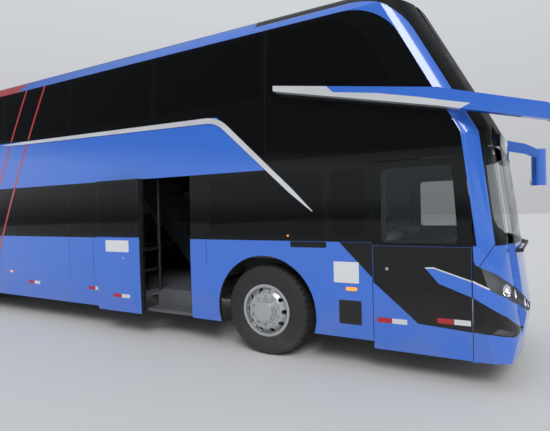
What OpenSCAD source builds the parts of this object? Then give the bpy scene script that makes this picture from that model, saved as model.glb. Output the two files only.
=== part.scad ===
// Double-deck intercity coach, six wheels on three axles, passenger door standing open.
// X runs forward, Y to the coach's left, Z up; the origin is on the ground under the middle.

/* [Body] */
// Length of the body without the mirrors
body_len = 14000; // [13000:100:15000]
// How far the mirrors reach ahead of the body
mirror_reach = 300; // [200:10:400]
// Width of the body at the belt line
body_w = 2600; // [2500:10:2600]
// Height of the roof crown above the ground
body_h = 4100; // [4050:10:4200]
// Radius of the gentle curve of the sides
side_r = 27500; // [22000:500:40000]
// Thickness of walls, doors and lids
wall_t = 50; // [40:1:60]
// Thickness of the bonded glass
glass_t = 8; // [6:1:12]
// Gap around doors, lids and between panes
seam = 6; // [5:1:8]

/* [Heights] */
// Lower edge of the skirt
skirt_z = 335; // [300:5:380]
// Belt line, the lower edge of the lower windows
belt_z = 1337; // [1250:1:1400]
// Upper edge of the lower windows
low_glass_z = 2141; // [2050:1:2250]
// Lower edge of the upper windows at the rear
band_z = 2920; // [2800:10:2980]
// Upper edge of the upper windows
cove_z = 3770; // [3700:10:3800]
// Height of the roof's edge, above the cove
eaves_z = 3955; // [3920:5:3980]
// Half width of the roof at its edge
eaves_y = 1050; // [1000:10:1080]

/* [Axles] */
// From the front of the body to the front axle
front_overhang = 2700; // [2600:10:2800]
// From the front axle to the drive axle
wheelbase = 6950; // [6700:10:7100]
// From the drive axle to the tag axle
tag_gap = 1350; // [1300:10:1450]
// Radius of a tyre
tyre_r = 522; // [500:1:535]
// Width of a tyre
tyre_w = 298; // [285:1:305]
// Radius where the tyre sits on the rim
bead_r = 286; // [280:1:290]
// From the middle plane to the centre of a front or tag wheel
wheel_y = 1120; // [1100:1:1130]
// From the middle plane to a kingpin
kingpin_y = 915; // [900:1:930]
// Spacing of twin tyres
twin_gap = 326; // [320:1:340]
// Radius of the wheel arches
arch_r = 640; // [620:5:660]

/* [Entrance] */
// Rear edge of the entrance, ahead of the middle of the coach
entry_x = 2250; // [2200:10:2300]
// Clear width of the entrance
entry_w = 840; // [800:10:900]
// How far the open door stands behind its place
door_back = 728; // [700:1:740]
// How far the open door stands outside its place
door_out = 145; // [135:1:150]
// Reach of the swinging arm from its post
arm_r = 450; // [440:1:480]

/* [Cab] */
// From the front of the body to the front edge of the cab door
cab_door_front = 531; // [500:1:560]
// Width of the cab door
cab_door_w = 911; // [880:1:930]
// Lower edge of the cab door
cab_door_z = 262; // [250:1:290]

/* [Windows] */
// Spacing of the upper window joints
pane_pitch = 1725; // [1600:5:1800]
// From the front of the body to the foremost upper window joint
pane_front = 2670; // [2600:5:2700]

/* [Nose] */
// Height of the foremost point of the nose
nose_z = 650; // [600:10:700]
// Height of the joint between the two windscreens
brow_z = 2370; // [2300:10:2450]
// Lean of the lower front, degrees
low_lean = 6.7; // [5:0.1:8]
// Lean of the upper windscreen, degrees
up_lean = 27.7; // [24:0.1:30]
// Radius of the front face seen from above
nose_r = 4500; // [4000:100:6000]
// Radius of the front corners seen from above
corner_r = 380; // [330:10:420]
// Radius of the rear corners seen from above
rear_corner_r = 260; // [200:10:320]

/* [Decks] */
// Top of the lower floor
low_floor_z = 600; // [580:5:640]
// Top of the cab floor
cab_floor_z = 900; // [860:10:940]
// Top of the luggage hold floor
hold_floor_z = 1190; // [1160:10:1240]
// Top of the upper floor
up_floor_z = 2440; // [2400:10:2480]
// Thickness of the floors
floor_t = 60; // [50:5:80]
// Spacing of the seat rows
row_pitch = 880; // [820:10:950]

/* [Hidden] */
fine = 256;
round_fn = 96;
blue = "#3f7fe0";
black = "#15171a";
steel = "#b8bcc2";
far = 20000;

// Places along the coach
front_x = (body_len - mirror_reach) / 2;
rear_x = front_x - body_len;
axle_x = front_x - front_overhang;
drive_x = axle_x - wheelbase;
tag_x = drive_x - tag_gap;
cab_door_x = front_x - cab_door_front;
cab_rear_x = cab_door_x - cab_door_w;
pane_x = front_x - pane_front;
half_w = body_w / 2;
fit = 0.3;

// Curves of the cross-section
function side_y(z) = half_w - side_r + sqrt(side_r * side_r - (z - belt_z) * (z - belt_z));
function in_y(z) = side_y(z) - wall_t - 0.8;
cove_y = side_y(cove_z);
side_step = 300;
tail_len = 500;
nose_rear_x = pane_x;
up_tilt = 3.4;
cove_c = (cove_z * cove_z + cove_y * cove_y - eaves_z * eaves_z - eaves_y * eaves_y)
    / (2 * (cove_z - eaves_z));
cove_r = norm([cove_y, cove_z - cove_c]);
crown = body_h - eaves_z;
crown_r = (eaves_y * eaves_y + crown * crown) / (2 * crown);

// Curves of the nose
brow_x = front_x - tan(low_lean) * (brow_z - nose_z);
top_lean = 62;
top_z = 3850;
top_x = brow_x - tan(up_lean) * (top_z - brow_z);
chin_lean = 8;
corner_in = nose_r - sqrt(nose_r * nose_r - pow(half_w - corner_r * 0.4, 2));
rear_r = 6000;
rear_lean = 2.5;
nose_back = 410;
hoop_w = 150;
hoop_h = 100;
brow_h = 120;
sill_drop = 20;
bond = 0.5;
function nose_x(z) = z > brow_z ? brow_x - tan(up_lean) * (z - brow_z)
    : front_x - tan(low_lean) * (z - nose_z);

// Pieces of the frame
rail_y = 400;
rail_w = 80;
rail_h = 150;
front_rail_z = cab_floor_z - floor_t - rail_h;
rear_rail_z = 800;
tow_r = 20.5;
tow_z = 460;
mid_front_x = 3300;
mid_rear_x = -1950;
hold_rear_x = -5350;
rim_t = 14;
barrel_t = 16;
disc_z = twin_gap / 2;
hub_r = 137;
bolt_face_r = 195;
hand_hole_r = 27;
front_spindle_r = 45;
drive_spindle_r = 70;
tag_spindle_r = 60;
well_x = 700;
well_in = 590;
well_top = 1130;
steps = 8;
tread = 210;
stair_x = 2300;
stair_y = 700;
stair_w = 700;
flap_x = -3560;
flap_w = 1450;
flap_low = 1230;
flap_high = low_glass_z - 30;
lid_low = 620;
lid_high = 1750;
lid_w = 1700;
lid_hinge_x = rear_x + tan(rear_lean) * (lid_high - seam - skirt_z);

// Passenger door linkage, the post at arm_post and the door's pin at door_pin when open
pin_in = 110;
shut_pin = [entry_x + 464, -half_w + pin_in];
door_pin = shut_pin - [door_back, door_out];
chord = norm([door_back, door_out]);
half_swing = asin(chord / 2 / arm_r);
mid_pin = (shut_pin + door_pin) / 2;
arm_post = mid_pin + arm_r * cos(half_swing) * [-door_out, door_back] / chord;
arm_low = 900;
arm_high = 1180;
arm_t = 36;
// The shutting door comes in along the arm's circle, so its rear edge slants as that circle does
door_slant = 24;

module along_x(x0, x1) {
    translate([x0, 0, 0]) rotate([90, 0, 90]) linear_extrude(x1 - x0) children();
}
module across_y(y0, y1) {
    translate([0, y1, 0]) rotate([90, 0, 0]) linear_extrude(y1 - y0) children();
}
module block(x0, x1, y0, y1, z0, z1) {
    translate([x0, y0, z0]) cube([x1 - x0, y1 - y0, z1 - z0]);
}
module side_of(s) {
    mirror([0, s > 0 ? 1 : 0, 0]) children();
}
module spindle(x, y0, y1, z, r) {
    translate([x, y0, z]) rotate([-90, 0, 0]) cylinder(r = r, h = y1 - y0, $fn = round_fn);
}

// Cross-section of the body, drawn smaller by the inset
module section(inset) {
    zs = [for (k = [-4:10]) belt_z + k * side_step];
    intersection() {
        polygon(concat(
            [for (z = zs) [side_y(z) - inset, z]],
            [for (k = [len(zs) - 1:-1:0]) [inset - side_y(zs[k]), zs[k]]]
        ));
        union() {
            translate([0, cove_c]) circle(r = cove_r - inset, $fn = fine);
            translate([-half_w, 0]) square([body_w, cove_c]);
        }
        translate([0, body_h - crown_r]) circle(r = crown_r - inset, $fn = fine);
    }
}
module skin(outer, inner) {
    difference() {
        section(outer);
        section(inner);
    }
}
// One leaning face of the nose, curved as seen from above
module nose_face(x, z, lean, inset) {
    translate([x, 0, z]) rotate([0, -lean, 0]) translate([-nose_r, 0, -5000])
        cylinder(r = nose_r - inset, h = 10000, $fn = fine);
}
// What is cut away outside a rounded corner that leans with the nose
module corner_cut(x, y, z, lean, tilt, r, inset) {
    translate([x - corner_in - r, -(y - r), z]) rotate([tilt, -lean, 0])
        difference() {
            translate([0, -3 * r, -3500]) cube([4 * r, 3 * r, 7000]);
            translate([0, 0, -3600]) cylinder(r = r - inset, h = 7200, $fn = round_fn);
        }
}
// The front end as one form, of its lower part, its upper part or both
module nose(inset, low, up) {
    difference() {
        intersection() {
            along_x(nose_rear_x, front_x + 100) section(inset);
            if (low) nose_face(front_x, nose_z, low_lean, inset);
            if (low) nose_face(front_x, nose_z, -chin_lean, inset);
            if (up) nose_face(brow_x, brow_z, up_lean, inset);
            if (up) nose_face(top_x, top_z, top_lean, inset);
        }
        for (m = [0, 1]) mirror([0, m, 0]) {
            if (low) corner_cut(front_x, half_w, nose_z, low_lean, 0, corner_r, inset);
            if (up) corner_cut(brow_x, side_y(brow_z) + 4, brow_z, up_lean, -up_tilt,
                corner_r, inset);
        }
    }
}
module nose_shell(thick, low, up) {
    difference() {
        nose(0, low, up);
        nose(thick, low, up);
    }
}
// The rear end as one form
module tail(inset) {
    difference() {
        intersection() {
            along_x(rear_x - 100, rear_x + tail_len) section(inset);
            translate([rear_x, 0, skirt_z]) rotate([0, rear_lean, 0])
                translate([rear_r, 0, -3000])
                cylinder(r = rear_r - inset, h = 8000, $fn = fine);
        }
        for (m = [0, 1]) mirror([0, m, 0])
            translate([rear_x + rear_corner_r + 130, -(half_w - rear_corner_r), 0])
                difference() {
                    translate([-3 * rear_corner_r, -3 * rear_corner_r, -100])
                        cube([3 * rear_corner_r, 3 * rear_corner_r, 5000]);
                    translate([0, 0, -200])
                        cylinder(r = rear_corner_r - inset, h = 5200, $fn = round_fn);
                }
    }
}
module tail_shell(thick) {
    difference() {
        tail(0);
        tail(thick);
    }
}

// Regions in side view, as outlines in X and Z
module behind_nose(back, z0, z1) {
    bend = z0 < brow_z && z1 > brow_z ? [brow_z] : [];
    polygon(concat([[-far, z0]], [for (z = concat(z0, bend, z1)) [nose_x(z) - back, z]],
        [[-far, z1]]));
}
trim_bend = [pane_x - 670, 2790];
trim_tip = [pane_x + 590, 1660];
trim_end = [-1000, band_z - 20];
// Glass of the upper deck, running down to the belt ahead of the trim
module upper_glass_area() {
    intersection() {
        polygon([
            [rear_x + 1000, band_z], [trim_end[0], band_z], trim_bend + [0, 40],
            trim_tip + [30, 0], [trim_tip[0] + 30, low_glass_z], [far, low_glass_z],
            [far, cove_z], [rear_x + 1000, cove_z]
        ]);
        behind_nose(nose_back, skirt_z, cove_z);
    }
}
module lower_glass_area() {
    intersection() {
        polygon([
            [mid_rear_x + 60, belt_z], [far, belt_z], [far, low_glass_z],
            [mid_rear_x + 60, low_glass_z]
        ]);
        behind_nose(nose_back, skirt_z, cove_z);
    }
}
function pane_xs() = [for (k = [0:6]) pane_x - k * pane_pitch];
low_panes = [axle_x + 780, axle_x - 805, entry_x, 730, -1000];

module wheel_cut(x) {
    spindle(x, -half_w - 100, -well_in, tyre_r, arch_r);
}
module wall(s) {
    right = s < 0;
    side_of(s) difference() {
        intersection() {
            along_x(rear_x + tail_len, front_x) skin(0, wall_t);
            across_y(-half_w - 50, -800) difference() {
                behind_nose(nose_back, skirt_z, cove_z);
                translate([cab_door_x + seam, 0]) square([far, belt_z - sill_drop]);
                for (x = [axle_x, drive_x, tag_x]) translate([x, tyre_r]) circle(arch_r, $fn = fine);
                translate([tag_x, 0]) square([drive_x - tag_x, tyre_r + arch_r - 60]);
            }
        }
        intersection() {
            along_x(rear_x, front_x) skin(-20, glass_t);
            across_y(-half_w - 100, -800) {
                upper_glass_area();
                lower_glass_area();
            }
        }
        across_y(-half_w - 100, -800) {
            for (x = pane_xs()) if (x > rear_x + 1400) window(x + 50, x + pane_pitch - 50,
                band_z + 60, cove_z - 50);
            for (k = [1:3]) window(low_panes[k + 1] + 50, low_panes[k] - 50,
                belt_z + 50, low_glass_z - 50);
            window(axle_x - 755, axle_x + 730, belt_z + 50, low_glass_z - 50);
            window(axle_x + 830, cab_rear_x - 60, belt_z + 50, low_glass_z - 50);
        }
        flap_hole();
        block(rear_x, front_x, -half_w - 100, -800, low_glass_z, low_glass_z + fit);
        if (right) {
            block(entry_x, entry_x + entry_w, -half_w - 100, -800, 0, low_glass_z);
            block(cab_rear_x, front_x, -half_w - 100, -800, 0, low_glass_z + seam);
        }
        if (!right) across_y(-half_w - 100, -800)
            window(cab_rear_x + 60, cab_door_x - 90, belt_z + 50, low_glass_z - 50);
    }
}
// Pivot lugs that fill the gap at both ends of a lid's top edge
module flap_lugs(s) {
    side_of(s) for (x = [flap_x, flap_x + flap_w - seam + fit])
        block(x, x + seam - fit, -side_y(flap_high) + 4, -side_y(flap_high) + wall_t - 6,
            flap_high - 46, flap_high);
}
module window(x0, x1, z0, z1) {
    intersection() {
        translate([x0, z0]) square([x1 - x0, z1 - z0]);
        behind_nose(nose_back + 90, skirt_z, z1);
    }
}
module flap_hole() {
    block(flap_x, flap_x + flap_w, -half_w - 100, -800, flap_low, flap_high);
}
module glass(s) {
    right = s < 0;
    side_of(s) difference() {
        intersection() {
            along_x(rear_x, front_x) skin(0, glass_t);
            across_y(-half_w - 50, -800) union() {
                upper_glass_area();
                lower_glass_area();
            }
        }
        for (x = pane_xs()) block(x - seam / 2, x + seam / 2, -half_w - 50, -800,
            x > axle_x - 500 ? low_glass_z : 2500, 4000);
        for (x = low_panes) block(x - seam / 2, x + seam / 2, -half_w - 50, -800,
            1000, low_glass_z + seam);
        block(axle_x + 640, front_x, -half_w - 50, -800, low_glass_z, low_glass_z + seam);
        if (right) {
            block(entry_x - seam, entry_x + entry_w + seam, -half_w - 50, -800, 0, low_glass_z);
            block(cab_rear_x, front_x, -half_w - 50, -800, 0, low_glass_z + seam);
        }
    }
}

module wall_right() {
    color(blue) {
        wall(-1);
        flap_lugs(-1);
    }
}
module wall_left() {
    color(blue) {
        wall(1);
        flap_lugs(1);
    }
}
module glass_right() {
    color(black) glass(-1);
}
module glass_left() {
    color(black) glass(1);
}

module roof() {
    color(blue) difference() {
        union() {
            intersection() {
                along_x(rear_x + tail_len, pane_x) skin(0, wall_t);
                block(rear_x, pane_x, -half_w, half_w, cove_z, body_h + 10);
            }
            intersection() {
                nose_shell(wall_t, false, true);
                block(pane_x, front_x, -half_w, half_w, cove_z + hoop_h, body_h + 10);
            }
        }
        for (x = hatch_xs) hatch(x, 0);
    }
}
hatch_xs = [3000, -4200];
module hatch(x, gap) {
    block(x - 300 + gap, x + 300 - gap, -300 + gap, 300 - gap, 3900, 4200);
}
module roof_unit() {
    color("#d5d8db") for (x = hatch_xs) intersection() {
        hatch(x, bond);
        along_x(x - 400, x + 400) translate([0, body_h - crown_r]) difference() {
            circle(r = crown_r, $fn = fine);
            circle(r = crown_r - wall_t, $fn = fine);
        }
    }
}
// Painted hoop around the windscreens: two pillars and the bands along the cove
module front_hoop() {
    color(blue) intersection() {
        nose_shell(wall_t, true, true);
        across_y(-half_w - 50, half_w + 50) difference() {
            behind_nose(nose_back - hoop_w, belt_z - sill_drop, cove_z + hoop_h);
            behind_nose(nose_back, 0, cove_z);
        }
    }
}
module front_glass() {
    color(black) {
        intersection() {
            nose_shell(glass_t, true, true);
            across_y(-half_w - 50, half_w + 50) difference() {
                translate([nose_x(body_h) - 400, brow_z + bond])
                    square([far, cove_z + hoop_h - brow_z - 2 * bond]);
                behind_nose(nose_back - hoop_w - bond, 0, cove_z + hoop_h);
            }
        }
        intersection() {
            nose_shell(glass_t, true, false);
            across_y(-half_w - 50, half_w + 50) difference() {
                translate([nose_x(body_h) - 400, belt_z - sill_drop + bond])
                    square([far, brow_z - brow_h - belt_z + sill_drop - 2 * bond]);
                behind_nose(nose_back - hoop_w - bond, 0, cove_z);
            }
        }
    }
}
module front_mask() {
    color(blue) difference() {
        intersection() {
            nose_shell(wall_t, true, false);
            block(cab_door_x + seam, front_x + 100, -half_w - 50, half_w + 50, cab_door_z,
                belt_z - sill_drop);
        }
        lamp_pockets(0);
    }
    color(blue) for (z = [cab_door_z]) {
        block(cab_door_x - 20, cab_door_x + seam + 40, -half_w + 30, -half_w + 60, z - 12, z - fit);
        block(cab_door_x + seam, cab_door_x + seam + 40, -half_w + 30, -half_w + 60, z - 12, z + 10);
    }
    color(black) intersection() {
        nose_shell(wall_t, true, false);
        across_y(-half_w - 50, half_w + 50) difference() {
            translate([nose_x(body_h) - 400, brow_z - brow_h]) square([far, brow_h]);
            behind_nose(nose_back - hoop_w - bond, 0, cove_z);
        }
    }
}
module lamp_pockets(clear) {
    for (m = [0, 1]) mirror([0, m, 0]) across_y(-half_w - 60, -620)
        polygon([
            [front_x - 470, 1090 - clear], [front_x - 120, 1000 - clear], [front_x + 50, 760],
            [front_x + 50, 690], [front_x - 150, 730]
        ]);
}
module headlamps() {
    color("#e8eef5") intersection() {
        difference() {
            nose(0, true, false);
            nose(wall_t, true, false);
        }
        lamp_pockets(0);
    }
}
module rear_mask() {
    color(blue) difference() {
        intersection() {
            tail_shell(wall_t);
            block(rear_x - 50, rear_x + tail_len, -half_w - 50, half_w + 50, skirt_z, body_h + 10);
        }
        block(rear_x - 100, rear_x + 400, -lid_w / 2, lid_w / 2, lid_low, lid_high);
        tail_pockets();
    }
    color(blue) for (m = [0, 1]) mirror([0, m, 0])
        block(lid_hinge_x + 72, lid_hinge_x + 102, -lid_w / 2, -lid_w / 2 + seam - fit,
            lid_high - 46, lid_high);
}
module tail_pocket() {
    block(rear_x - 100, rear_x + 300, -half_w - 50, -half_w + 260, 1000, 1900);
}
module tail_pockets() {
    tail_pocket();
    mirror([0, 1, 0]) tail_pocket();
}
module tail_lamps() {
    color("#b3121c") for (m = [0, 1]) mirror([0, m, 0]) difference() {
        intersection() {
            tail_pocket();
            tail(0);
        }
        tail(wall_t);
    }
}
module engine_lid() {
    color(blue) intersection() {
        tail_shell(wall_t);
        block(rear_x - 100, rear_x + 400, -lid_w / 2 + seam, lid_w / 2 - seam,
            lid_low + seam, lid_high - seam);
    }
}

module trims() {
    color(steel) for (s = [-1, 1]) side_of(s) {
        intersection() {
            along_x(rear_x, front_x) skin(-14, 0);
            across_y(-half_w - 50, -800) polygon([
                trim_end, trim_bend + [-60, 70], trim_bend + [30, 70], trim_tip + [25, -30],
                trim_bend + [-20, 0], trim_end + [0, -20]
            ]);
        }
    }
}
wiper_r = 18;
wiper_z = 620;
wiper_len = 900;
wiper_ys = [-480, 480];
mirror_r = 100;
mirror_arm = [
    [cab_door_x - 1970, 3030, 30], [cab_door_x - 270, 2700, 85],
    [front_x + 50, 2460, 70], [front_x + 200, 2380, 60]
];
module mirrors() {
    color(blue) for (m = [0, 1]) mirror([0, m, 0]) {
        difference() {
            across_y(-half_w - 60, -half_w + 120) polygon(concat(
                [for (p = mirror_arm) [p[0], p[1] + p[2]]],
                [for (k = [3:-1:0]) [mirror_arm[k][0], mirror_arm[k][1] - mirror_arm[k][2]]]
            ));
            along_x(pane_x - 100, front_x + 400) section(-fit);
        }
        translate([front_x + mirror_reach - mirror_r, -half_w - 80, 1950]) {
            cylinder(r = mirror_r, h = 500, $fn = round_fn);
            translate([0, -80, 0]) cube([60, 160, 500]);
        }
    }
}
// Two wipers parked along the foot of the windscreen, each on a pivot at its end
module wipers() {
    color(black) translate([front_x, 0, nose_z]) rotate([0, -low_lean, 0])
        translate([-nose_r, 0, wiper_z])
        for (y = wiper_ys) rotate([0, 0, asin(y / nose_r)]) {
            pivot_y = -wiper_len / 2;
            sink = nose_r - sqrt(pow(nose_r, 2) - pow(wiper_len / 2 - wiper_r, 2));
            translate([nose_r - sink + fit, pivot_y, 0]) rotate([0, 90, 0])
                cylinder(r = wiper_r, h = 40 + sink, $fn = round_fn);
            block(nose_r + 20, nose_r + 36, pivot_y, -pivot_y, -12, 12);
        }
}

module entrance_door() {
    color(blue) translate([-door_back, -door_out, 0]) {
        difference() {
            intersection() {
                along_x(entry_x + seam, entry_x + entry_w - seam) skin(0, wall_t);
                block(entry_x, entry_x + entry_w, -half_w - 50, -800, skirt_z + seam,
                    low_glass_z - seam);
            }
            intersection() {
                along_x(0, front_x) skin(-20, glass_t);
                block(0, far, -half_w - 50, -800, belt_z + 20, far);
            }
            block(entry_x + 90, entry_x + entry_w - 90, -half_w - 50, -800, belt_z + 90,
                low_glass_z - 90);
            linear_extrude(4000) polygon([
                [entry_x, -half_w - 50], [entry_x + seam, -half_w - 50], [entry_x + seam, -half_w],
                [entry_x + seam + door_slant, wall_t - half_w], [entry_x + seam + 2 * door_slant, 2 * wall_t - half_w],
                [entry_x, 2 * wall_t - half_w]
            ]);
        }
        for (z = [arm_low, arm_high]) door_lug(z);
    }
}
module door_lug(z) {
    for (dz = [arm_t / 2 + fit, -arm_t / 2 - fit - 12]) translate([0, 0, z + dz])
        linear_extrude(12) union() {
            translate(shut_pin) circle(24, $fn = round_fn);
            translate([shut_pin[0] - 24, -half_w + wall_t - 5]) square([48, pin_in - wall_t + 5]);
        }
}
module entrance_glass() {
    color(black) translate([-door_back, -door_out, 0]) intersection() {
        along_x(entry_x + seam, entry_x + entry_w - seam) skin(0, glass_t);
        block(0, far, -half_w - 50, -800, belt_z + 20, low_glass_z - seam);
    }
}
module arm_path() {
    elbow = [arm_post[0] + 6, -half_w - 45];
    square_end = [arm_post[0] - arm_t / 2 + 6, elbow[1]];
    translate(square_end) square([arm_t, arm_post[1] - elbow[1]]);
    translate(arm_post) circle(40, $fn = round_fn);
    translate(elbow) circle(arm_t / 2, $fn = round_fn);
    difference() {
        translate([door_pin[0], door_pin[1] - arm_t / 2]) square([elbow[0] - door_pin[0], arm_t]);
        translate([elbow[0], elbow[1] - far]) square([far, far]);
    }
    translate(door_pin) circle(24, $fn = round_fn);
}
module entrance_arm() {
    color(black) {
        for (z = [arm_low, arm_high]) translate([0, 0, z - arm_t / 2])
            linear_extrude(arm_t) arm_path();
        translate([arm_post[0], arm_post[1], low_floor_z + fit])
            cylinder(r = 24, h = up_floor_z - floor_t - low_floor_z - 2 * fit, $fn = round_fn);
    }
}

hinge_x = cab_door_x + 4;
hinge_y = -half_w - 4;
module cab_door() {
    color(blue) {
        difference() {
            intersection() {
                along_x(cab_rear_x + seam, cab_door_x) skin(0, wall_t);
                across_y(-half_w - 50, -800)
                    behind_nose(nose_back + seam, cab_door_z, low_glass_z);
            }
            intersection() {
                along_x(0, front_x) skin(-20, glass_t);
                block(0, far, -half_w - 50, -800, belt_z - 30, far);
            }
            block(cab_rear_x + 137, cab_door_x - 110, -half_w - 50, -800, belt_z + 20,
                low_glass_z - 60);
        }
    }
}
module cab_glass() {
    color(black) intersection() {
        along_x(cab_rear_x + seam, cab_door_x) skin(0, glass_t);
        across_y(-half_w - 50, -800) behind_nose(nose_back + seam, belt_z - 30, low_glass_z);
    }
}
module flap(s) {
    side_of(s) intersection() {
        along_x(flap_x + seam, flap_x + flap_w - seam) skin(0, wall_t);
        block(rear_x, far, -half_w - 50, -800, flap_low + seam, flap_high - seam);
    }
}
module flap_right() {
    color(blue) flap(-1);
}
module flap_left() {
    color(blue) flap(1);
}

// Floors, wheel boxes, bulkheads, entrance step and stairs, each a plate of its own
box_t = 20;
step_in = half_w - 300;
module lower_deck() {
    w = in_y(low_floor_z - floor_t);
    cab_w = in_y(cab_floor_z - floor_t) - seam;
    beside_rails = [[-w, -rail_y - fit], [rail_w - rail_y + fit, rail_y - rail_w - fit],
        [rail_y + fit, w]];
    box_x0 = axle_x - well_x - box_t;
    box_x1 = axle_x + well_x + box_t;
    color("#3a3d42") {
        floor_plate(mid_rear_x + 80 + fit, entry_x - fit, w, low_floor_z);
        floor_plate(entry_x + entry_w + fit, mid_front_x - 80 - fit, w, low_floor_z);
        block(entry_x, entry_x + entry_w, -step_in + box_t + fit, w, low_floor_z - floor_t,
            low_floor_z);
        block(entry_x, entry_x + entry_w, seam - in_y(skirt_z), -step_in, skirt_z,
            skirt_z + 40);
        block(entry_x, entry_x + entry_w, -step_in + fit, -step_in + box_t, skirt_z,
            low_floor_z);
        for (y = beside_rails) {
            block(mid_rear_x, mid_rear_x + 80, y[0], y[1], low_floor_z - floor_t, low_floor_z);
            block(mid_front_x - 80, mid_front_x, y[0], y[1], low_floor_z - floor_t,
                low_floor_z);
            block(mid_front_x + fit, mid_front_x + box_t, y[0], y[1], low_floor_z - floor_t,
                cab_floor_z - floor_t - fit);
        }
        floor_plate(mid_front_x + fit, box_x0 - fit, cab_w, cab_floor_z);
        floor_plate(box_x0, box_x1, well_in - box_t - fit, cab_floor_z);
        floor_plate(box_x1 + fit, front_x - 500, cab_w, cab_floor_z);
        floor_plate(rear_x + tail_len + 100, mid_rear_x - fit, w, hold_floor_z);
        for (s = [-1, 1]) side_of(s) {
            for (x = [box_x0, box_x1 - box_t]) block(x, x + box_t, -cab_w, -well_in - fit,
                cab_floor_z - floor_t, well_top - fit);
            block(box_x0, box_x1, -well_in, -well_in + box_t, cab_floor_z - floor_t,
                well_top - fit);
            block(box_x0, box_x1, -cab_w, -well_in + box_t, well_top, well_top + box_t);
        }
        difference() {
            cross_wall(mid_rear_x, low_floor_z + fit);
            for (y = [-rail_y, rail_y - rail_w]) block(mid_rear_x - fit, mid_rear_x + 80,
                y - fit, y + rail_w + fit, 0, rear_rail_z + rail_h + fit);
        }
        cross_wall(hold_rear_x, hold_floor_z + fit);
        stairs();
    }
}
module floor_plate(x0, x1, w, top) {
    block(x0, x1, -w, w, top - floor_t, top);
}
module cross_wall(x, z0) {
    w = in_y(up_floor_z - floor_t);
    block(x, x + 40, -w, w, z0, up_floor_z - floor_t);
}
module stairs() {
    rise = (up_floor_z - low_floor_z) / steps;
    across_y(stair_y - stair_w / 2, stair_y + stair_w / 2) polygon(concat(
        [for (k = [0:steps - 1], u = [0, 1])
            [stair_x - k * tread, low_floor_z + fit + (k + u) * rise]],
        [[stair_x - steps * tread, up_floor_z + fit], [stair_x - steps * tread, up_floor_z - 2 * rise],
            [stair_x - 2 * tread, low_floor_z + fit]]
    ));
}
module upper_floor() {
    color("#3a3d42") difference() {
        union() {
            w = in_y(up_floor_z);
            block(rear_x + tail_len, nose_x(up_floor_z) - 480, -w, w, up_floor_z - floor_t,
                up_floor_z);
        }
        block(stair_x - steps * tread - 1, stair_x - 200, stair_y - stair_w / 2 - 60,
            stair_y + stair_w / 2 + 60, up_floor_z - 200, up_floor_z + 10);
    }
}
module dashboard() {
    color(black) {
        block(front_x - 900, front_x - 500, -1000, 1000, cab_floor_z, belt_z - 60);
        translate([front_x - 1000, 600, belt_z - 100]) rotate([0, -35, 0]) {
            difference() {
                cylinder(r = 230, h = 30, $fn = round_fn);
                translate([0, 0, -1]) cylinder(r = 200, h = 32, $fn = round_fn);
            }
            cylinder(r = 40, h = 30, $fn = round_fn);
            for (a = [0, 120, 240]) rotate([0, 0, a]) translate([0, -15, 5]) cube([215, 30, 20]);
            translate([0, 0, -260]) cylinder(r = 25, h = 270, $fn = round_fn);
        }
    }
}
// One pair of seats in side profile: cushion on its pedestal, and the leaning back behind it
module seat_pair(x, y, z) {
    translate([x, 0, z]) across_y(y - 450, y + 450) {
        polygon([[120, 0], [240, 0], [280, 360], [460, 400], [460, 480], [80, 460], [80, 360]]);
        polygon([[-60, 360], [80 - fit, 360], [80 - fit, 460], [-60, 1080], [-160, 1080]]);
    }
}
module lower_seats() {
    color("#2c3440") {
        for (k = [1:3]) seat_pair(1200 - k * 950, 700, low_floor_z);
        for (k = [1:3]) seat_pair(1200 - k * 950, -700, low_floor_z);
        seat_pair(front_x - 1800, 650, cab_floor_z);
        seat_pair(front_x - 1800, -650, cab_floor_z);
    }
}
module upper_seats() {
    color("#2c3440") for (k = [0:12]) {
        seat_pair(5000 - k * row_pitch, -680, up_floor_z);
        if (k < 3 || k > 5) seat_pair(5000 - k * row_pitch, 680, up_floor_z);
    }
}

module chassis() {
    color("#202225") {
        for (y = [-rail_y, rail_y - rail_w]) {
            block(mid_rear_x, mid_front_x, y, y + rail_w, low_floor_z - floor_t - rail_h,
                low_floor_z - floor_t);
            block(mid_front_x - 80, front_x - 420, y, y + rail_w, front_rail_z,
                cab_floor_z - floor_t);
            block(rear_x + tail_len, mid_rear_x + 80, y, y + rail_w, rear_rail_z,
                rear_rail_z + rail_h);
            block(mid_front_x - 80, mid_front_x, y, y + rail_w, 390, front_rail_z + rail_h);
            block(mid_rear_x, mid_rear_x + 80, y, y + rail_w, 390, rear_rail_z + rail_h);
            for (x = [hold_rear_x, tag_x + 600]) block(x, x + 60, y, y + rail_w,
                rear_rail_z + rail_h - 10, hold_floor_z - floor_t);
        }
        for (x = [-1500, -300, 900, 2100]) block(x, x + 80, -980, 980,
            low_floor_z - floor_t - rail_h, low_floor_z - floor_t - 60);
        for (x = [mid_front_x + 40, 4900, 6000]) block(x, x + 80, -1000, 1000, front_rail_z,
            front_rail_z + 90);
        for (x = [-6740, -5240, -3500, -2150]) block(x, x + 80, -rail_y, rail_y,
            rear_rail_z, rear_rail_z + 100);
        tow_jaw(front_x - 420, 60, front_rail_z + 20);
        tow_jaw(rear_x + tail_len, -140, rear_rail_z + 20);
    }
}
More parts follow.
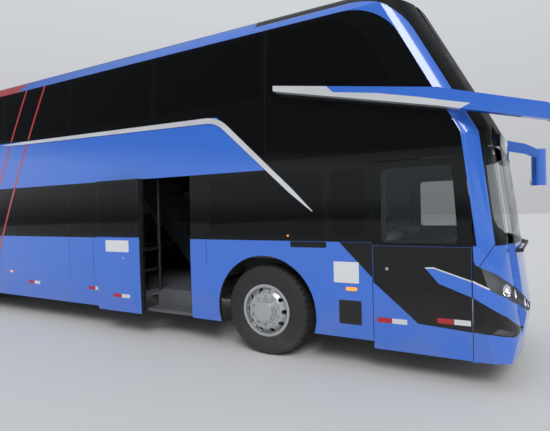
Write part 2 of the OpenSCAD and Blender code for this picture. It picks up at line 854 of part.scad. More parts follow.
// Towing plate with an upright pin hole, hung from a cross bar between the rails
module tow_jaw(x, reach, top) {
    block(x - 80, x, -rail_y, rail_y, top, top + 60);
    block(x - 40, x, -80, 80, tow_z - 30, top + 10);
    difference() {
        block(min(x - 40, x + reach - 60), max(x, x + reach + 60), -80, 80, tow_z - 30, tow_z + 30);
        translate([x + reach, 0, tow_z - 40]) cylinder(r = tow_r, h = 80, $fn = round_fn);
    }
}
module engine() {
    color("#55585c") block(-6650, -5300, rail_w - rail_y, rail_y - rail_w, 480, 1100);
}
module front_beam() {
    color("#202225") {
        block(axle_x - 60, axle_x + 60, -kingpin_y, kingpin_y, tyre_r - 130, tyre_r - 10);
        bellows(axle_x, tyre_r - 20, front_rail_z);
    }
}
module bellows(x, z0, z1) {
    for (s = [-1, 1]) translate([x, s * (rail_y - rail_w / 2), z0])
        cylinder(r = 110, h = z1 - z0, $fn = round_fn);
}
module rear_axles() {
    color("#202225") {
        spindle(drive_x, -wheel_y + 100, wheel_y - 100, tyre_r, drive_spindle_r);
        bellows(drive_x, tyre_r + 20, rear_rail_z);
        spindle(tag_x, -wheel_y - 120, wheel_y + 120, tyre_r, tag_spindle_r);
        bellows(tag_x, tyre_r + 20, rear_rail_z);
    }
}
module knuckle(s) {
    side_of(s) {
        spindle(axle_x, -wheel_y - 120, -kingpin_y - 60, tyre_r, front_spindle_r);
        block(axle_x - 70, axle_x + 70, -kingpin_y - 80, -kingpin_y + 60, tyre_r - 10 + fit,
            tyre_r + 60);
    }
}
module knuckle_right() {
    color("#202225") knuckle(-1);
}
module knuckle_left() {
    color("#202225") knuckle(1);
}
// A wheel's rim in half section: radius across, height along the axle, disc towards the top
module rim() {
    difference() {
        rotate_extrude($fn = round_fn) {
            translate([bead_r - barrel_t, -tyre_w / 2 + 8]) square([barrel_t - fit, tyre_w - 16]);
            for (z = [-tyre_w / 2 + 8, tyre_w / 2 - 20 + fit])
                translate([bead_r - barrel_t, z]) square([barrel_t + 16, 12 - fit]);
            polygon([
                [hub_r - 2, disc_z - rim_t], [bolt_face_r, disc_z - rim_t],
                [bead_r - barrel_t + 2, 75], [bead_r - barrel_t + 2, 92],
                [bolt_face_r + 4, disc_z], [hub_r - 2, disc_z]
            ]);
        }
        for (a = [0:9]) rotate([0, 0, a * 36]) translate([234, 0, 60])
            cylinder(r = hand_hole_r, h = 120, $fn = round_fn);
    }
}
module hub(z0, z1, bore) {
    difference() {
        union() {
            translate([0, 0, z0]) cylinder(r = hub_r, h = z1 - z0, $fn = round_fn);
            translate([0, 0, z1]) cylinder(r = hub_r - 25, h = 30, $fn = round_fn);
        }
        translate([0, 0, z0 - 1]) cylinder(r = bore + fit, h = z1 - z0 - 19, $fn = round_fn);
    }
}
module single_wheel(bore) {
    rim();
    hub(-70, disc_z + 20, bore);
    translate([0, 0, disc_z - rim_t - 20]) difference() {
        cylinder(r = bolt_face_r, h = 20, $fn = round_fn);
        translate([0, 0, -1]) cylinder(r = hub_r - 5, h = 22, $fn = round_fn);
    }
}
module tyre() {
    rotate_extrude($fn = round_fn) translate([0, -tyre_w / 2]) polygon([
        [bead_r, 20], [bead_r + 18, 20], [bead_r + 90, 0], [tyre_r - 70, 0], [tyre_r - 20, 18], [tyre_r, 50],
        [tyre_r, tyre_w - 50], [tyre_r - 20, tyre_w - 18], [tyre_r - 70, tyre_w],
        [bead_r + 90, tyre_w], [bead_r + 18, tyre_w - 20], [bead_r, tyre_w - 20]
    ]);
}
module at_wheel(x, y, s) {
    side_of(s) translate([x, -y, tyre_r]) rotate([90, 0, 0]) children();
}
twin_y = wheel_y - 10;
module front_rim_left() {
    color(steel) at_wheel(axle_x, wheel_y, 1) single_wheel(front_spindle_r);
}
module front_rim_right() {
    color(steel) at_wheel(axle_x, wheel_y, -1) single_wheel(front_spindle_r);
}
module tag_rim_left() {
    color(steel) at_wheel(tag_x, wheel_y, 1) single_wheel(tag_spindle_r);
}
module tag_rim_right() {
    color(steel) at_wheel(tag_x, wheel_y, -1) single_wheel(tag_spindle_r);
}
// Twin rims bolted back to back on one hub
module twin_rims(s) {
    at_wheel(drive_x, twin_y, s) {
        mirror([0, 0, 1]) rim();
        hub(-disc_z - 120, -disc_z + 110, drive_spindle_r);
        translate([0, 0, -disc_z - rim_t - 20]) difference() {
            cylinder(r = bolt_face_r, h = 20, $fn = round_fn);
            translate([0, 0, -1]) cylinder(r = hub_r - 5, h = 22, $fn = round_fn);
        }
    }
    at_wheel(drive_x, twin_y - 2 * disc_z, s) rim();
}
module drive_rim_left() {
    color(steel) twin_rims(1);
}
module drive_rim_right() {
    color(steel) twin_rims(-1);
}
module front_tyre_left() {
    color(black) at_wheel(axle_x, wheel_y, 1) tyre();
}
module front_tyre_right() {
    color(black) at_wheel(axle_x, wheel_y, -1) tyre();
}
module tag_tyre_left() {
    color(black) at_wheel(tag_x, wheel_y, 1) tyre();
}
module tag_tyre_right() {
    color(black) at_wheel(tag_x, wheel_y, -1) tyre();
}
module drive_tyre_left() {
    color(black) for (y = [twin_y, twin_y - twin_gap]) at_wheel(drive_x, y, 1) tyre();
}
module drive_tyre_right() {
    color(black) for (y = [twin_y, twin_y - twin_gap]) at_wheel(drive_x, y, -1) tyre();
}

chassis();
front_beam();
rear_axles();
engine();
lower_deck();
upper_floor();
dashboard();
lower_seats();
upper_seats();
wall_right();
wall_left();
glass_right();
glass_left();
roof();
roof_unit();
front_hoop();
front_mask();
front_glass();
rear_mask();
headlamps();
tail_lamps();
trims();
mirrors();
wipers();
entrance_door();
entrance_glass();
entrance_arm();
cab_door();
cab_glass();
flap_right();
flap_left();
engine_lid();
knuckle_left();
knuckle_right();
front_rim_left();
front_rim_right();
drive_rim_left();
drive_rim_right();
tag_rim_left();
tag_rim_right();
front_tyre_left();
front_tyre_right();
drive_tyre_left();
drive_tyre_right();
tag_tyre_left();
tag_tyre_right();
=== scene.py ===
"""Finish and fine detail of a double-deck intercity coach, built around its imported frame."""
import math

import bmesh
import bpy
from mathutils import Matrix, Vector
from mathutils.bvhtree import BVHTree


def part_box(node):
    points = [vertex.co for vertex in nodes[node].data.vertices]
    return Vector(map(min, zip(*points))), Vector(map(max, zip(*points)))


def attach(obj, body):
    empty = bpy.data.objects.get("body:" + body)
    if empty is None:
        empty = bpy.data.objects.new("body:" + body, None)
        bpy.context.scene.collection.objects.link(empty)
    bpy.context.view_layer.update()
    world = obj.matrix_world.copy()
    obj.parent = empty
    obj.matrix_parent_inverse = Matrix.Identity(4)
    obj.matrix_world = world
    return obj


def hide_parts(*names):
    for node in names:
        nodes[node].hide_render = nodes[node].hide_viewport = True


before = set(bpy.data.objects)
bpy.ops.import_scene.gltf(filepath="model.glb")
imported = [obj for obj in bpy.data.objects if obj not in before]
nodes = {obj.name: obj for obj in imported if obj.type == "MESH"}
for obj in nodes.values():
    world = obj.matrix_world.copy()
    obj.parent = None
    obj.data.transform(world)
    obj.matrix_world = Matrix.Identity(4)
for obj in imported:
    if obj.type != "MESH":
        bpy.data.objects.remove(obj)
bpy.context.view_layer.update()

# View
# A wide lens stands low beside the front of the coach, at the photograph's own place and tilt.
# A soft sun and an even sky light it over a pale floor. Glossy surfaces see a bright band above
# the horizon under a darker top, which gives the paint and the glass their depth.
LENS_MM = 27.26
SENSOR_MM = 36.0
CAMERA_PLACE = Vector((6.506, -5.462, 1.680))
CAMERA_YAW = -0.4848
CAMERA_PITCH = -0.0124
CAMERA_ROLL = -0.0204
scene = bpy.context.scene
forward = Vector((
    math.sin(CAMERA_YAW) * math.cos(CAMERA_PITCH),
    math.cos(CAMERA_YAW) * math.cos(CAMERA_PITCH),
    math.sin(CAMERA_PITCH),
))
level = forward.cross(Vector((0, 0, 1))).normalized()
upright = level.cross(forward)
right = level * math.cos(CAMERA_ROLL) + upright * math.sin(CAMERA_ROLL)
up = upright * math.cos(CAMERA_ROLL) - level * math.sin(CAMERA_ROLL)
lens = bpy.data.cameras.new("camera")
lens.lens = LENS_MM
lens.sensor_width = SENSOR_MM
lens.sensor_fit = "HORIZONTAL"
lens.clip_end = 300
camera = bpy.data.objects.new("camera", lens)
camera.matrix_world = Matrix((
    (right.x, up.x, -forward.x, CAMERA_PLACE.x),
    (right.y, up.y, -forward.y, CAMERA_PLACE.y),
    (right.z, up.z, -forward.z, CAMERA_PLACE.z),
    (0, 0, 0, 1),
))
scene.collection.objects.link(camera)
scene.camera = camera
scene.view_settings.view_transform = "Standard"

sun_lamp = bpy.data.lights.new("sun", "SUN")
sun_lamp.energy = 1.5
sun_lamp.angle = math.radians(25)
sun = bpy.data.objects.new("sun", sun_lamp)
sun.rotation_euler = (math.radians(48), 0, math.radians(28))
scene.collection.objects.link(sun)


def add_node(tree, kind, operation=None, **values):
    """A shader node with the values of its named inputs."""
    node = tree.nodes.new("ShaderNode" + kind)
    if operation:
        node.operation = operation
    for label, value in values.items():
        node.inputs[label.replace("_", " ")].default_value = value
    return node


def wire(tree, *runs):
    """Links between nodes, each as node, output, node, input."""
    for source, output, target, entry in runs:
        tree.links.new(source.outputs[output], target.inputs[entry])


sky = bpy.data.worlds.new("sky")
sky.use_nodes = True
scene.world = sky
direction = add_node(sky.node_tree, "TexCoord")
split_direction = add_node(sky.node_tree, "SeparateXYZ")
wire(sky.node_tree, (direction, "Generated", split_direction, 0))


def height_ramp(stops):
    """A colour ramp over the height of the direction that a ray takes."""
    ramp = add_node(sky.node_tree, "ValToRGB")
    elements = ramp.color_ramp.elements
    for k, (position, colour) in enumerate(stops):
        stop = elements[k] if k < 2 else elements.new(position)
        stop.position = position
        stop.color = colour + (1,)
    wire(sky.node_tree, (split_direction, "Z", ramp, "Fac"))
    return ramp


even_ramp = height_ramp([(0.0, (0.62, 0.63, 0.65)), (0.75, (0.92, 0.95, 1.0))])
gloss_ramp = height_ramp([(0.0, (0.30, 0.31, 0.33)), (1.0, (0.62, 0.66, 0.72))] + [
    (position, (tone * 0.93, tone * 0.97, tone))
    for position, tone in ((0.02, 0.42), (0.06, 0.95), (0.15, 1.15), (0.21, 0.16), (0.55, 0.20),
                           (0.75, 0.50))])
ray = add_node(sky.node_tree, "LightPath")
which = add_node(sky.node_tree, "Mix")
which.data_type = "RGBA"
background = sky.node_tree.nodes["Background"]
background.inputs["Strength"].default_value = 0.8
wire(sky.node_tree, (ray, "Is Glossy Ray", which, "Factor"), (even_ramp, "Color", which, "A"),
     (gloss_ramp, "Color", which, "B"), (which, "Result", background, "Color"))

FLOOR_HALF = 90.0
floor_mesh = bpy.data.meshes.new("floor")
floor_mesh.from_pydata(
    [(-FLOOR_HALF, -FLOOR_HALF, 0), (FLOOR_HALF, -FLOOR_HALF, 0),
     (FLOOR_HALF, FLOOR_HALF, 0), (-FLOOR_HALF, FLOOR_HALF, 0)],
    [], [(0, 1, 2, 3)])
floor = bpy.data.objects.new("floor", floor_mesh)
scene.collection.objects.link(floor)
floor_finish = bpy.data.materials.new("floor")
floor_finish.use_nodes = True
floor_shader = floor_finish.node_tree.nodes["Principled BSDF"]
floor_shader.inputs["Base Color"].default_value = (0.62, 0.62, 0.62, 1)
floor_shader.inputs["Roughness"].default_value = 0.85
floor_mesh.materials.append(floor_finish)


# Frame, axles and knuckles
# Welded box sections, plates and a forged beam, sprayed with black chassis paint.
# Road dust lies on the paint, thickest low down.
def new_group(name, inputs, outputs):
    """An empty shader group with its named inputs and outputs."""
    group = bpy.data.node_groups.new(name, "ShaderNodeTree")
    for label, kind, value in inputs:
        socket = group.interface.new_socket(label, in_out="INPUT", socket_type=kind)
        socket.default_value = value
    for label, kind in outputs:
        group.interface.new_socket(label, in_out="OUTPUT", socket_type=kind)
    return group, group.nodes.new("NodeGroupInput"), group.nodes.new("NodeGroupOutput")


def make_dust_group():
    """Road dust that thins out with height and lies in soft patches."""
    group, given, result = new_group(
        "Road dust",
        [("Clean", "NodeSocketColor", (0.5, 0.5, 0.5, 1)),
         ("Dust", "NodeSocketColor", (0.22, 0.19, 0.16, 1)),
         ("Low", "NodeSocketFloat", 0.3), ("High", "NodeSocketFloat", 1.2),
         ("Amount", "NodeSocketFloat", 0.5), ("Scale", "NodeSocketFloat", 3.0)],
        [("Colour", "NodeSocketColor"), ("Mask", "NodeSocketFloat")])
    place = add_node(group, "TexCoord")
    axes = add_node(group, "SeparateXYZ")
    fade = add_node(group, "MapRange", To_Min=1, To_Max=0.06)
    cloud = add_node(group, "TexNoise", Detail=6)
    patch = add_node(group, "MapRange", From_Min=0.3, From_Max=0.7)
    both = add_node(group, "Math", "MULTIPLY")
    share = add_node(group, "Math", "MULTIPLY")
    blend = add_node(group, "Mix")
    blend.data_type = "RGBA"
    wire(group, (place, "Object", axes, 0), (axes, "Z", fade, "Value"),
         (given, "Low", fade, "From Min"), (given, "High", fade, "From Max"),
         (place, "Object", cloud, "Vector"), (given, "Scale", cloud, "Scale"),
         (cloud, "Fac", patch, "Value"), (fade, "Result", both, 0), (patch, "Result", both, 1),
         (both, 0, share, 0), (given, "Amount", share, 1), (share, 0, blend, "Factor"),
         (given, "Clean", blend, "A"), (given, "Dust", blend, "B"),
         (blend, "Result", result, "Colour"), (share, 0, result, "Mask"))
    return group


def make_grain_group():
    """Fine grain for the relief and a slow change of tone."""
    group, given, result = new_group(
        "Fine grain",
        [("Base", "NodeSocketColor", (0.5, 0.5, 0.5, 1)), ("Scale", "NodeSocketFloat", 200.0),
         ("Spread", "NodeSocketFloat", 0.15)],
        [("Colour", "NodeSocketColor"), ("Height", "NodeSocketFloat")])
    place = add_node(group, "TexCoord")
    speck = add_node(group, "TexNoise", Detail=4)
    tone = add_node(group, "TexNoise", Scale=2.5, Detail=3)
    low = add_node(group, "Math", "SUBTRACT")
    low.inputs[0].default_value = 1
    high = add_node(group, "Math", "ADD")
    high.inputs[0].default_value = 1
    shade = add_node(group, "MapRange")
    scale = add_node(group, "VectorMath", "SCALE")
    wire(group, (place, "Object", speck, "Vector"), (given, "Scale", speck, "Scale"),
         (place, "Object", tone, "Vector"), (tone, "Fac", shade, "Value"),
         (given, "Spread", low, 1), (given, "Spread", high, 1), (low, 0, shade, "To Min"),
         (high, 0, shade, "To Max"), (given, "Base", scale, 0), (shade, "Result", scale, "Scale"),
         (scale, "Vector", result, "Colour"), (speck, "Fac", result, "Height"))
    return group


dust_group = make_dust_group()
grain_group = make_grain_group()


def place_group(material, group, **values):
    """A shader group set in a material with its own values."""
    node = material.node_tree.nodes.new("ShaderNodeGroup")
    node.node_tree = group
    for label, value in values.items():
        node.inputs[label].default_value = value
    return node


def grained(name, colour, roughness=0.5, metallic=0.0, grain=200.0, bump=0.15, spread=0.15,
            dust=0.0, dust_top=1.2, coat=0.0, dust_low=0.2):
    """A material with fine grain, a slow change of tone and road dust."""
    material = bpy.data.materials.new(name)
    material.use_nodes = True
    tree = material.node_tree
    shader = tree.nodes["Principled BSDF"]
    shader.inputs["Roughness"].default_value = roughness
    shader.inputs["Metallic"].default_value = metallic
    shader.inputs["Coat Weight"].default_value = coat
    shader.inputs["Coat Roughness"].default_value = 0.04
    fine = place_group(material, grain_group, Base=colour + (1,), Scale=grain, Spread=spread)
    coloured = fine
    if dust > 0:
        coloured = place_group(material, dust_group, Low=dust_low, High=dust_top, Amount=dust)
        rough = add_node(tree, "MapRange", To_Min=roughness, To_Max=0.9)
        wire(tree, (fine, "Colour", coloured, "Clean"), (coloured, "Mask", rough, "Value"),
             (rough, "Result", shader, "Roughness"))
    wire(tree, (coloured, "Colour", shader, "Base Color"))
    if bump > 0:
        relief = add_node(tree, "Bump", Strength=bump, Distance=0.001)
        wire(tree, (fine, "Height", relief, "Height"), (relief, "Normal", shader, "Normal"))
    return material


def coat_node(material, *names):
    """Gives CAD nodes that show as they are their finish."""
    for name in names:
        mesh = nodes[name].data
        mesh.materials.clear()
        mesh.materials.append(material)


chassis_paint = grained("chassis_paint", (0.022, 0.023, 0.026), 0.42, grain=260, dust=0.7,
                        dust_top=1.4)
coat_node(chassis_paint, "chassis", "front_beam", "rear_axles", "knuckle_left", "knuckle_right")

# Engine
# One cast block at the rear with its gearbox, unpainted grey iron under a film of oil
# and dust.
engine_iron = grained("engine_iron", (0.16, 0.165, 0.17), 0.55, 0.6, grain=90, bump=0.4, dust=0.5)
coat_node(engine_iron, "engine")

# Floors, wheel boxes, steps and stairs
# Plywood decks under glued grey vinyl, with folded steel boxes over the front wheels.
# The entrance step and the stairs wear the same vinyl.
# The grey vinyl is made darker than its own tone, as painted shade of the closed interior.
floor_vinyl_and_shade = grained("floor_vinyl_and_shade", (0.10, 0.105, 0.115), 0.6, grain=380, bump=0.3)
coat_node(floor_vinyl_and_shade, "lower_deck", "upper_floor")

# Dashboard
# One moulded desk across the cab in soft black plastic, with a round steering wheel
# in front of the crew seat.
desk_plastic = grained("desk_plastic", (0.028, 0.029, 0.032), 0.5, grain=900, bump=0.5)
coat_node(desk_plastic, "dashboard")

# Seats
# Pairs of crowned foam pads under a woven dark blue cloth, with a sewn channel near each side,
# on black moulded pedestals with armrests between and beside them.
seat_cloth = grained("seat_cloth", (0.045, 0.065, 0.130), 0.88, grain=700, bump=0.6)
weave_tree = seat_cloth.node_tree
weave_wave = add_node(weave_tree, "TexWave", Scale=160, Distortion=1.5)
weave_bump = add_node(weave_tree, "Bump", Strength=0.5, Distance=0.0008)
weave_place = add_node(weave_tree, "TexCoord")
seat_shader = weave_tree.nodes["Principled BSDF"]
seat_shader.inputs["Sheen Weight"].default_value = 0.4
wire(weave_tree, (weave_place, "Object", weave_wave, "Vector"),
     (weave_wave, "Fac", weave_bump, "Height"), (weave_bump, "Normal", seat_shader, "Normal"))
seat_black = grained("seat_black", (0.03, 0.031, 0.034), 0.5, grain=500, bump=0.4)


def finished(made, name, body, material, angle=40):
    """A mesh from bmesh as an object that rides on its body."""
    bmesh.ops.recalc_face_normals(made, faces=made.faces)
    for face in made.faces:
        face.smooth = True
    mesh = bpy.data.meshes.new(name)
    made.to_mesh(mesh)
    made.free()
    mesh.set_sharp_from_angle(angle=math.radians(angle))
    mesh.materials.append(material)
    piece = bpy.data.objects.new(name, mesh)
    scene.collection.objects.link(piece)
    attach(piece, body)
    return piece


# Shares of half a pad: place and width of the sewn channels, how much the pad thins at its
# edge, and how far its sides and its ends pull in. The depth is in metres.
CHANNEL_AT, CHANNEL_WIDTH, CHANNEL_DEPTH = 0.66, 0.09, 0.007
EDGE_THIN, SIDE_PULL, END_PULL = 0.45, 0.035, 0.02


def pad(made, foot, lean, width, thick, height, crown):
    """A crowned closed pad that stands on foot and leans back, its sides pulled in."""
    cells = 7
    grid = bmesh.new()
    bmesh.ops.create_cube(grid, size=2)
    bmesh.ops.subdivide_edges(grid, edges=grid.edges[:], cuts=cells, use_grid_fill=True)
    turn = Matrix.Rotation(-lean, 3, "Y")
    for vert in grid.verts:
        x, y, z = vert.co
        edge = max(abs(y), abs(z))
        thin = 1 - EDGE_THIN * edge ** 4
        bow = crown * (1 - y * y) * (1 - z * z)
        across = (abs(y) - CHANNEL_AT) / CHANNEL_WIDTH
        channel = CHANNEL_DEPTH * math.exp(-across ** 2) * (1 - z * z)
        px = x * thick / 2 * thin + (bow - channel) * (1 if x > 0 else 0)
        py = y * width / 2 * (1 - SIDE_PULL * (1 - z * z) * abs(y))
        pz = z * height / 2 * (1 - END_PULL * (1 - y * y) * abs(z)) + height / 2
        vert.co = foot + turn @ Vector((px, py, pz))
    mesh = bpy.data.meshes.new("pad")
    grid.to_mesh(mesh)
    grid.free()
    made.from_mesh(mesh)
    bpy.data.meshes.remove(mesh)


def bar(made, x, y, z, length, width, height):
    """A straight bar around its middle."""
    for vert in bmesh.ops.create_cube(made, size=1)["verts"]:
        vert.co = Vector((x + vert.co.x * length, y + vert.co.y * width, z + vert.co.z * height))


PAD_HALF_Y = 0.222
ARM_Y = 0.438
# From the seat's place: forward, up, lean in degrees, width, thickness, height, crown.
PADS = ((0.085, 0.430, -86.0, 0.43, 0.095, 0.385, 0.012),
        (0.005, 0.455, 12.5, 0.43, 0.100, 0.500, 0.020),
        (-0.098, 0.915, 12.5, 0.36, 0.085, 0.155, 0.012))
# From the seat's place: forward, up, length, width, height of the foot and of the tray on it.
SUPPORTS = ((0.200, 0.180, 0.14, 0.40, 0.36), (0.250, 0.375, 0.34, 0.86, 0.05))
# The same of an armrest and of the post that carries it.
ARMRESTS = ((0.190, 0.640, 0.33, 0.022, 0.045), (0.020, 0.500, 0.06, 0.022, 0.300))


def seat_set(name, node, places):
    """Joined pads and joined black pedestals of one deck, at (x, y, floor) in metres."""
    soft = bmesh.new()
    hard = bmesh.new()
    for x, y, z in places:
        for half in (-PAD_HALF_Y, PAD_HALF_Y):
            for ahead, above, lean, *sizes in PADS:
                pad(soft, Vector((x + ahead, y + half, z + above)), math.radians(lean), *sizes)
        for ahead, above, *sizes in SUPPORTS:
            bar(hard, x + ahead, y, z + above, *sizes)
        for across in (-ARM_Y, 0.0, ARM_Y):
            for ahead, above, *sizes in ARMRESTS:
                bar(hard, x + ahead, y + across, z + above, *sizes)
    bmesh.ops.bevel(hard, geom=hard.edges[:], offset=0.006, segments=1, affect="EDGES")
    pads = finished(soft, f"{name}_pads", "coach", seat_cloth, 60)
    frames = finished(hard, f"{name}_frames", "coach", seat_black, 30)
    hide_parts(node)
    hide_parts(node)


ROW_Y = 0.69
LOWER_FIRST_X, LOWER_PITCH, LOWER_Z = 0.25, 0.95, 0.60
CREW_X, CREW_Z = 5.05, 0.90
UPPER_FIRST_X, UPPER_PITCH, UPPER_Z = 5.00, 0.88, 2.44
STAIR_ROWS = (3, 4, 5)
lower_places = [(LOWER_FIRST_X - row * LOWER_PITCH, y, LOWER_Z)
                for row in range(3) for y in (-ROW_Y, ROW_Y)]
lower_places += [(CREW_X, y, CREW_Z) for y in (-ROW_Y, ROW_Y)]
upper_places = [(UPPER_FIRST_X - row * UPPER_PITCH, y, UPPER_Z)
                for y in (-ROW_Y, ROW_Y) for row in range(13)
                if y < 0 or row not in STAIR_ROWS]
seat_set("lower_seat", "lower_seats", lower_places)
seat_set("upper_seat", "upper_seats", upper_places)


# Painted skins
# Pressed steel and moulded glass-fibre panels, sprayed in one glossy blue under clear coat.
# Road dust lies on the skirt. Panel joints are real grooves cut into the sides.
SIDES = ((-1, "right"), (1, "left"))
WHOLE = ("Y", -1.5, 1.5)
TAIL = ("X", -7.4, -6.8)


def side_range(side, inner, outer):
    """The reach of a cut across one side, from two distances from the middle."""
    return ("Y",) + tuple(sorted((side * inner, side * outer)))


def prisms(outlines, axis, low, high):
    """Closed prisms over outlines in X and Z (axis Y) or in Y and Z (axis X)."""
    made = bmesh.new()
    for outline in outlines:
        count = len(outline)
        area = sum(u0 * v1 - u1 * v0
                   for (u0, v0), (u1, v1) in zip(outline, outline[1:] + outline[:1]))
        turned = outline if area > 0 else outline[::-1]
        rings = []
        for depth in ((low, high) if axis == "Y" else (high, low)):
            rings.append([made.verts.new((u, depth, v) if axis == "Y" else (depth, u, v))
                          for u, v in turned])
        made.faces.new(rings[0])
        made.faces.new(rings[1][::-1])
        for here in range(count):
            after = (here + 1) % count
            made.faces.new((rings[0][here], rings[1][here], rings[1][after], rings[0][after]))
    return made


def combine(mesh, tool_mesh, operation):
    """A mesh cut by, kept inside or joined with another one."""
    tool = bpy.data.objects.new("tool", tool_mesh)
    work = bpy.data.objects.new("work", mesh)
    scene.collection.objects.link(tool)
    scene.collection.objects.link(work)
    modifier = work.modifiers.new("cut", "BOOLEAN")
    modifier.operation = operation
    modifier.solver = "EXACT"
    modifier.object = tool
    evaluated = work.evaluated_get(bpy.context.evaluated_depsgraph_get())
    result = bpy.data.meshes.new_from_object(evaluated)
    bpy.data.objects.remove(work)
    bpy.data.objects.remove(tool)
    return result


def cut_mesh(mesh, outlines, axis, low, high, operation):
    """The part of a mesh outside (DIFFERENCE) or inside (INTERSECT) some prisms."""
    tool_mesh = bpy.data.meshes.new("tool")
    made = prisms(outlines, axis, low, high)
    made.to_mesh(tool_mesh)
    made.free()
    return combine(mesh, tool_mesh, operation)


def clean_copy(node):
    """A copy of a CAD mesh with its split points and its flat triangles joined."""
    mesh = nodes[node].data.copy()
    cleaned = bmesh.new()
    cleaned.from_mesh(mesh)
    bmesh.ops.remove_doubles(cleaned, verts=cleaned.verts, dist=0.00002)
    bmesh.ops.dissolve_limit(cleaned, angle_limit=math.radians(0.03),
                             verts=cleaned.verts, edges=cleaned.edges)
    cleaned.to_mesh(mesh)
    cleaned.free()
    return mesh


def skin_of(node, name, body, material, cuts=(), source=None, angle=30):
    """A smooth-shaded copy of a CAD skin that stands for it, cut by prisms if asked."""
    mesh = source.copy() if source else clean_copy(node)
    for step in cuts:
        mesh = cut_mesh(mesh, *step)
    for face in mesh.polygons:
        face.use_smooth = True
    mesh.set_sharp_from_angle(angle=math.radians(angle))
    mesh.materials.clear()
    mesh.materials.append(material)
    piece = bpy.data.objects.new(name, mesh)
    scene.collection.objects.link(piece)
    weighted = piece.modifiers.new("weighted", "WEIGHTED_NORMAL")
    weighted.keep_sharp = True
    weighted.weight = 100
    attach(piece, body)
    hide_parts(node)
    return piece


def box_outline(x0, x1, z0, z1, r=0.0):
    """Rectangle in the order that a face takes, with round corners if r is given."""
    if r <= 0:
        return [(x0, z0), (x1, z0), (x1, z1), (x0, z1)]
    points = []
    for cx, cz, start in ((x1 - r, z0 + r, -90), (x1 - r, z1 - r, 0),
                          (x0 + r, z1 - r, 90), (x0 + r, z0 + r, 180)):
        for step in range(5):
            turn = math.radians(start + step * 22.5)
            points.append((cx + r * math.cos(turn), cz + r * math.sin(turn)))
    return points


SIDE_R = 27.5
HALF_W = 1.3
BELT_Z = 1.337
COVE_Z = 3.77


def side_y(z):
    """Distance of the curved side from the middle of the coach at a height."""
    return HALF_W - SIDE_R + math.sqrt(SIDE_R ** 2 - (z - BELT_Z) ** 2)


def paint(name, colour):
    """A glossy coach colour under clear coat, dusty on the skirt."""
    return grained(name, colour, 0.30, grain=60, bump=0.02, spread=0.04, dust=0.25,
                   dust_top=0.9, coat=1.0, dust_low=0.3)


body_blue = paint("body_blue", (0.026, 0.150, 0.640))
# The inside lining is near black: partly its own dark trim, partly painted shade of the closed interior.
lining_and_shade = grained("lining_and_shade", (0.020, 0.021, 0.023), 0.6, grain=400, bump=0.3)


# The least cosine at which a face still looks out, and the least depth of a bed of glass.
OUTER_COSINE, BED_DEPTH = 0.25, 0.004


def line_inside(piece, outward, material=None, under_glass=False):
    """Faces that don't face out, or lie under bonded glass, get the near-black lining of the inside, partly dark
    trim and partly painted shade.
    """
    piece.data.materials.append(material or lining_and_shade)
    for face in piece.data.polygons:
        middle = face.center
        behind = BELT_Z < middle.z < COVE_Z and abs(middle.y) < side_y(middle.z) - BED_DEPTH
        inner = face.normal.dot(outward(middle).normalized()) < OUTER_COSINE
        if inner or (under_glass and behind):
            face.material_index = 1
    return piece


def from_side(side):
    """Straight out of one side."""
    return lambda centre: Vector((0, side, 0))


# Places inside the cab, the upper deck and the engine bay. Outer faces look away from them.
CAB_X, DECK_Z, BAY_X = 5.0, 2.8, -6.2


def from_middle(centre):
    """Out of the cab, towards the front and the sides."""
    return Vector((centre.x - CAB_X, centre.y, 0))


def from_core(centre):
    """Up and out of the upper deck."""
    return Vector((0, centre.y, centre.z - DECK_Z))


def from_tail(centre):
    """Out of the engine bay, towards the rear."""
    return Vector((centre.x - BAY_X, centre.y * 0.6, 0))


GROOVE = 0.0025
GROOVE_FLOOR_Y = 1.292
# Place along the coach, foot and head of each joint.
panel_joints = [(-1.06, 0.30, 1.337), (0.75, 0.30, 1.337), (3.34, 1.05, 1.337),
                (1.28, 0.30, 1.337), (-5.60, 1.10, 2.90), (-1.06, 2.141, 2.90),
                (0.75, 2.141, 2.86)]
grooves = [box_outline(x - GROOVE, x + GROOVE, z0, z1) for x, z0, z1 in panel_joints]
for side, mark in SIDES:
    cut = (grooves,) + side_range(side, GROOVE_FLOOR_Y, 1.4) + ("DIFFERENCE",)
    line_inside(skin_of(f"wall_{mark}", f"side_{mark}", "coach", body_blue, [cut]),
                from_side(side), under_glass=True)
film_red = paint("film_red", (0.46, 0.022, 0.034))
red_band = [[(-1.46, 3.766), (-0.62, 3.766), (-0.50, 4.00), (-1.34, 4.00)]]
UP_LEAN = math.radians(27.7)
ARC_X, ARC_Z, ARC_R = 5.0799, 3.07, 0.70


def arc_outline(grow_w, grow_h):
    """Where the pillar runs round into the roof band, as points in X and Z."""
    points = []
    for step in range(11):
        t = step / 10
        turn = UP_LEAN + t * (math.pi / 2 - UP_LEAN)
        r = ARC_R + grow_w * math.cos(UP_LEAN) * (1 - t) + grow_h * t
        points.append((ARC_X + r * math.cos(turn), ARC_Z + r * math.sin(turn)))
    return points


inner_arc = arc_outline(0.0, 0.0)
outer_arc = arc_outline(0.15, 0.10)
blue_corner = [inner_arc + [(ARC_X, 3.80), (6.30, 3.80)]]
black_corner = [outer_arc + [(ARC_X, 4.30), (6.60, 4.30)]]
black_dome = [box_outline(4.00, 6.60, 3.871, 4.30)]
gloss_black = grained("gloss_black", (0.005, 0.005, 0.006), 0.08, grain=80, bump=0.01, dust=0.2,
                      dust_top=0.9, dust_low=0.3)
gloss_black.node_tree.nodes["Principled BSDF"].inputs["Specular IOR Level"].default_value = 0.35
foot_seam = [[(6.3455, 1.083), (6.3505, 1.080), (6.5175, 1.3365), (6.5125, 1.340)]]
rear_window = [box_outline(-0.95, 0.95, 2.92, 3.67, 0.08)]
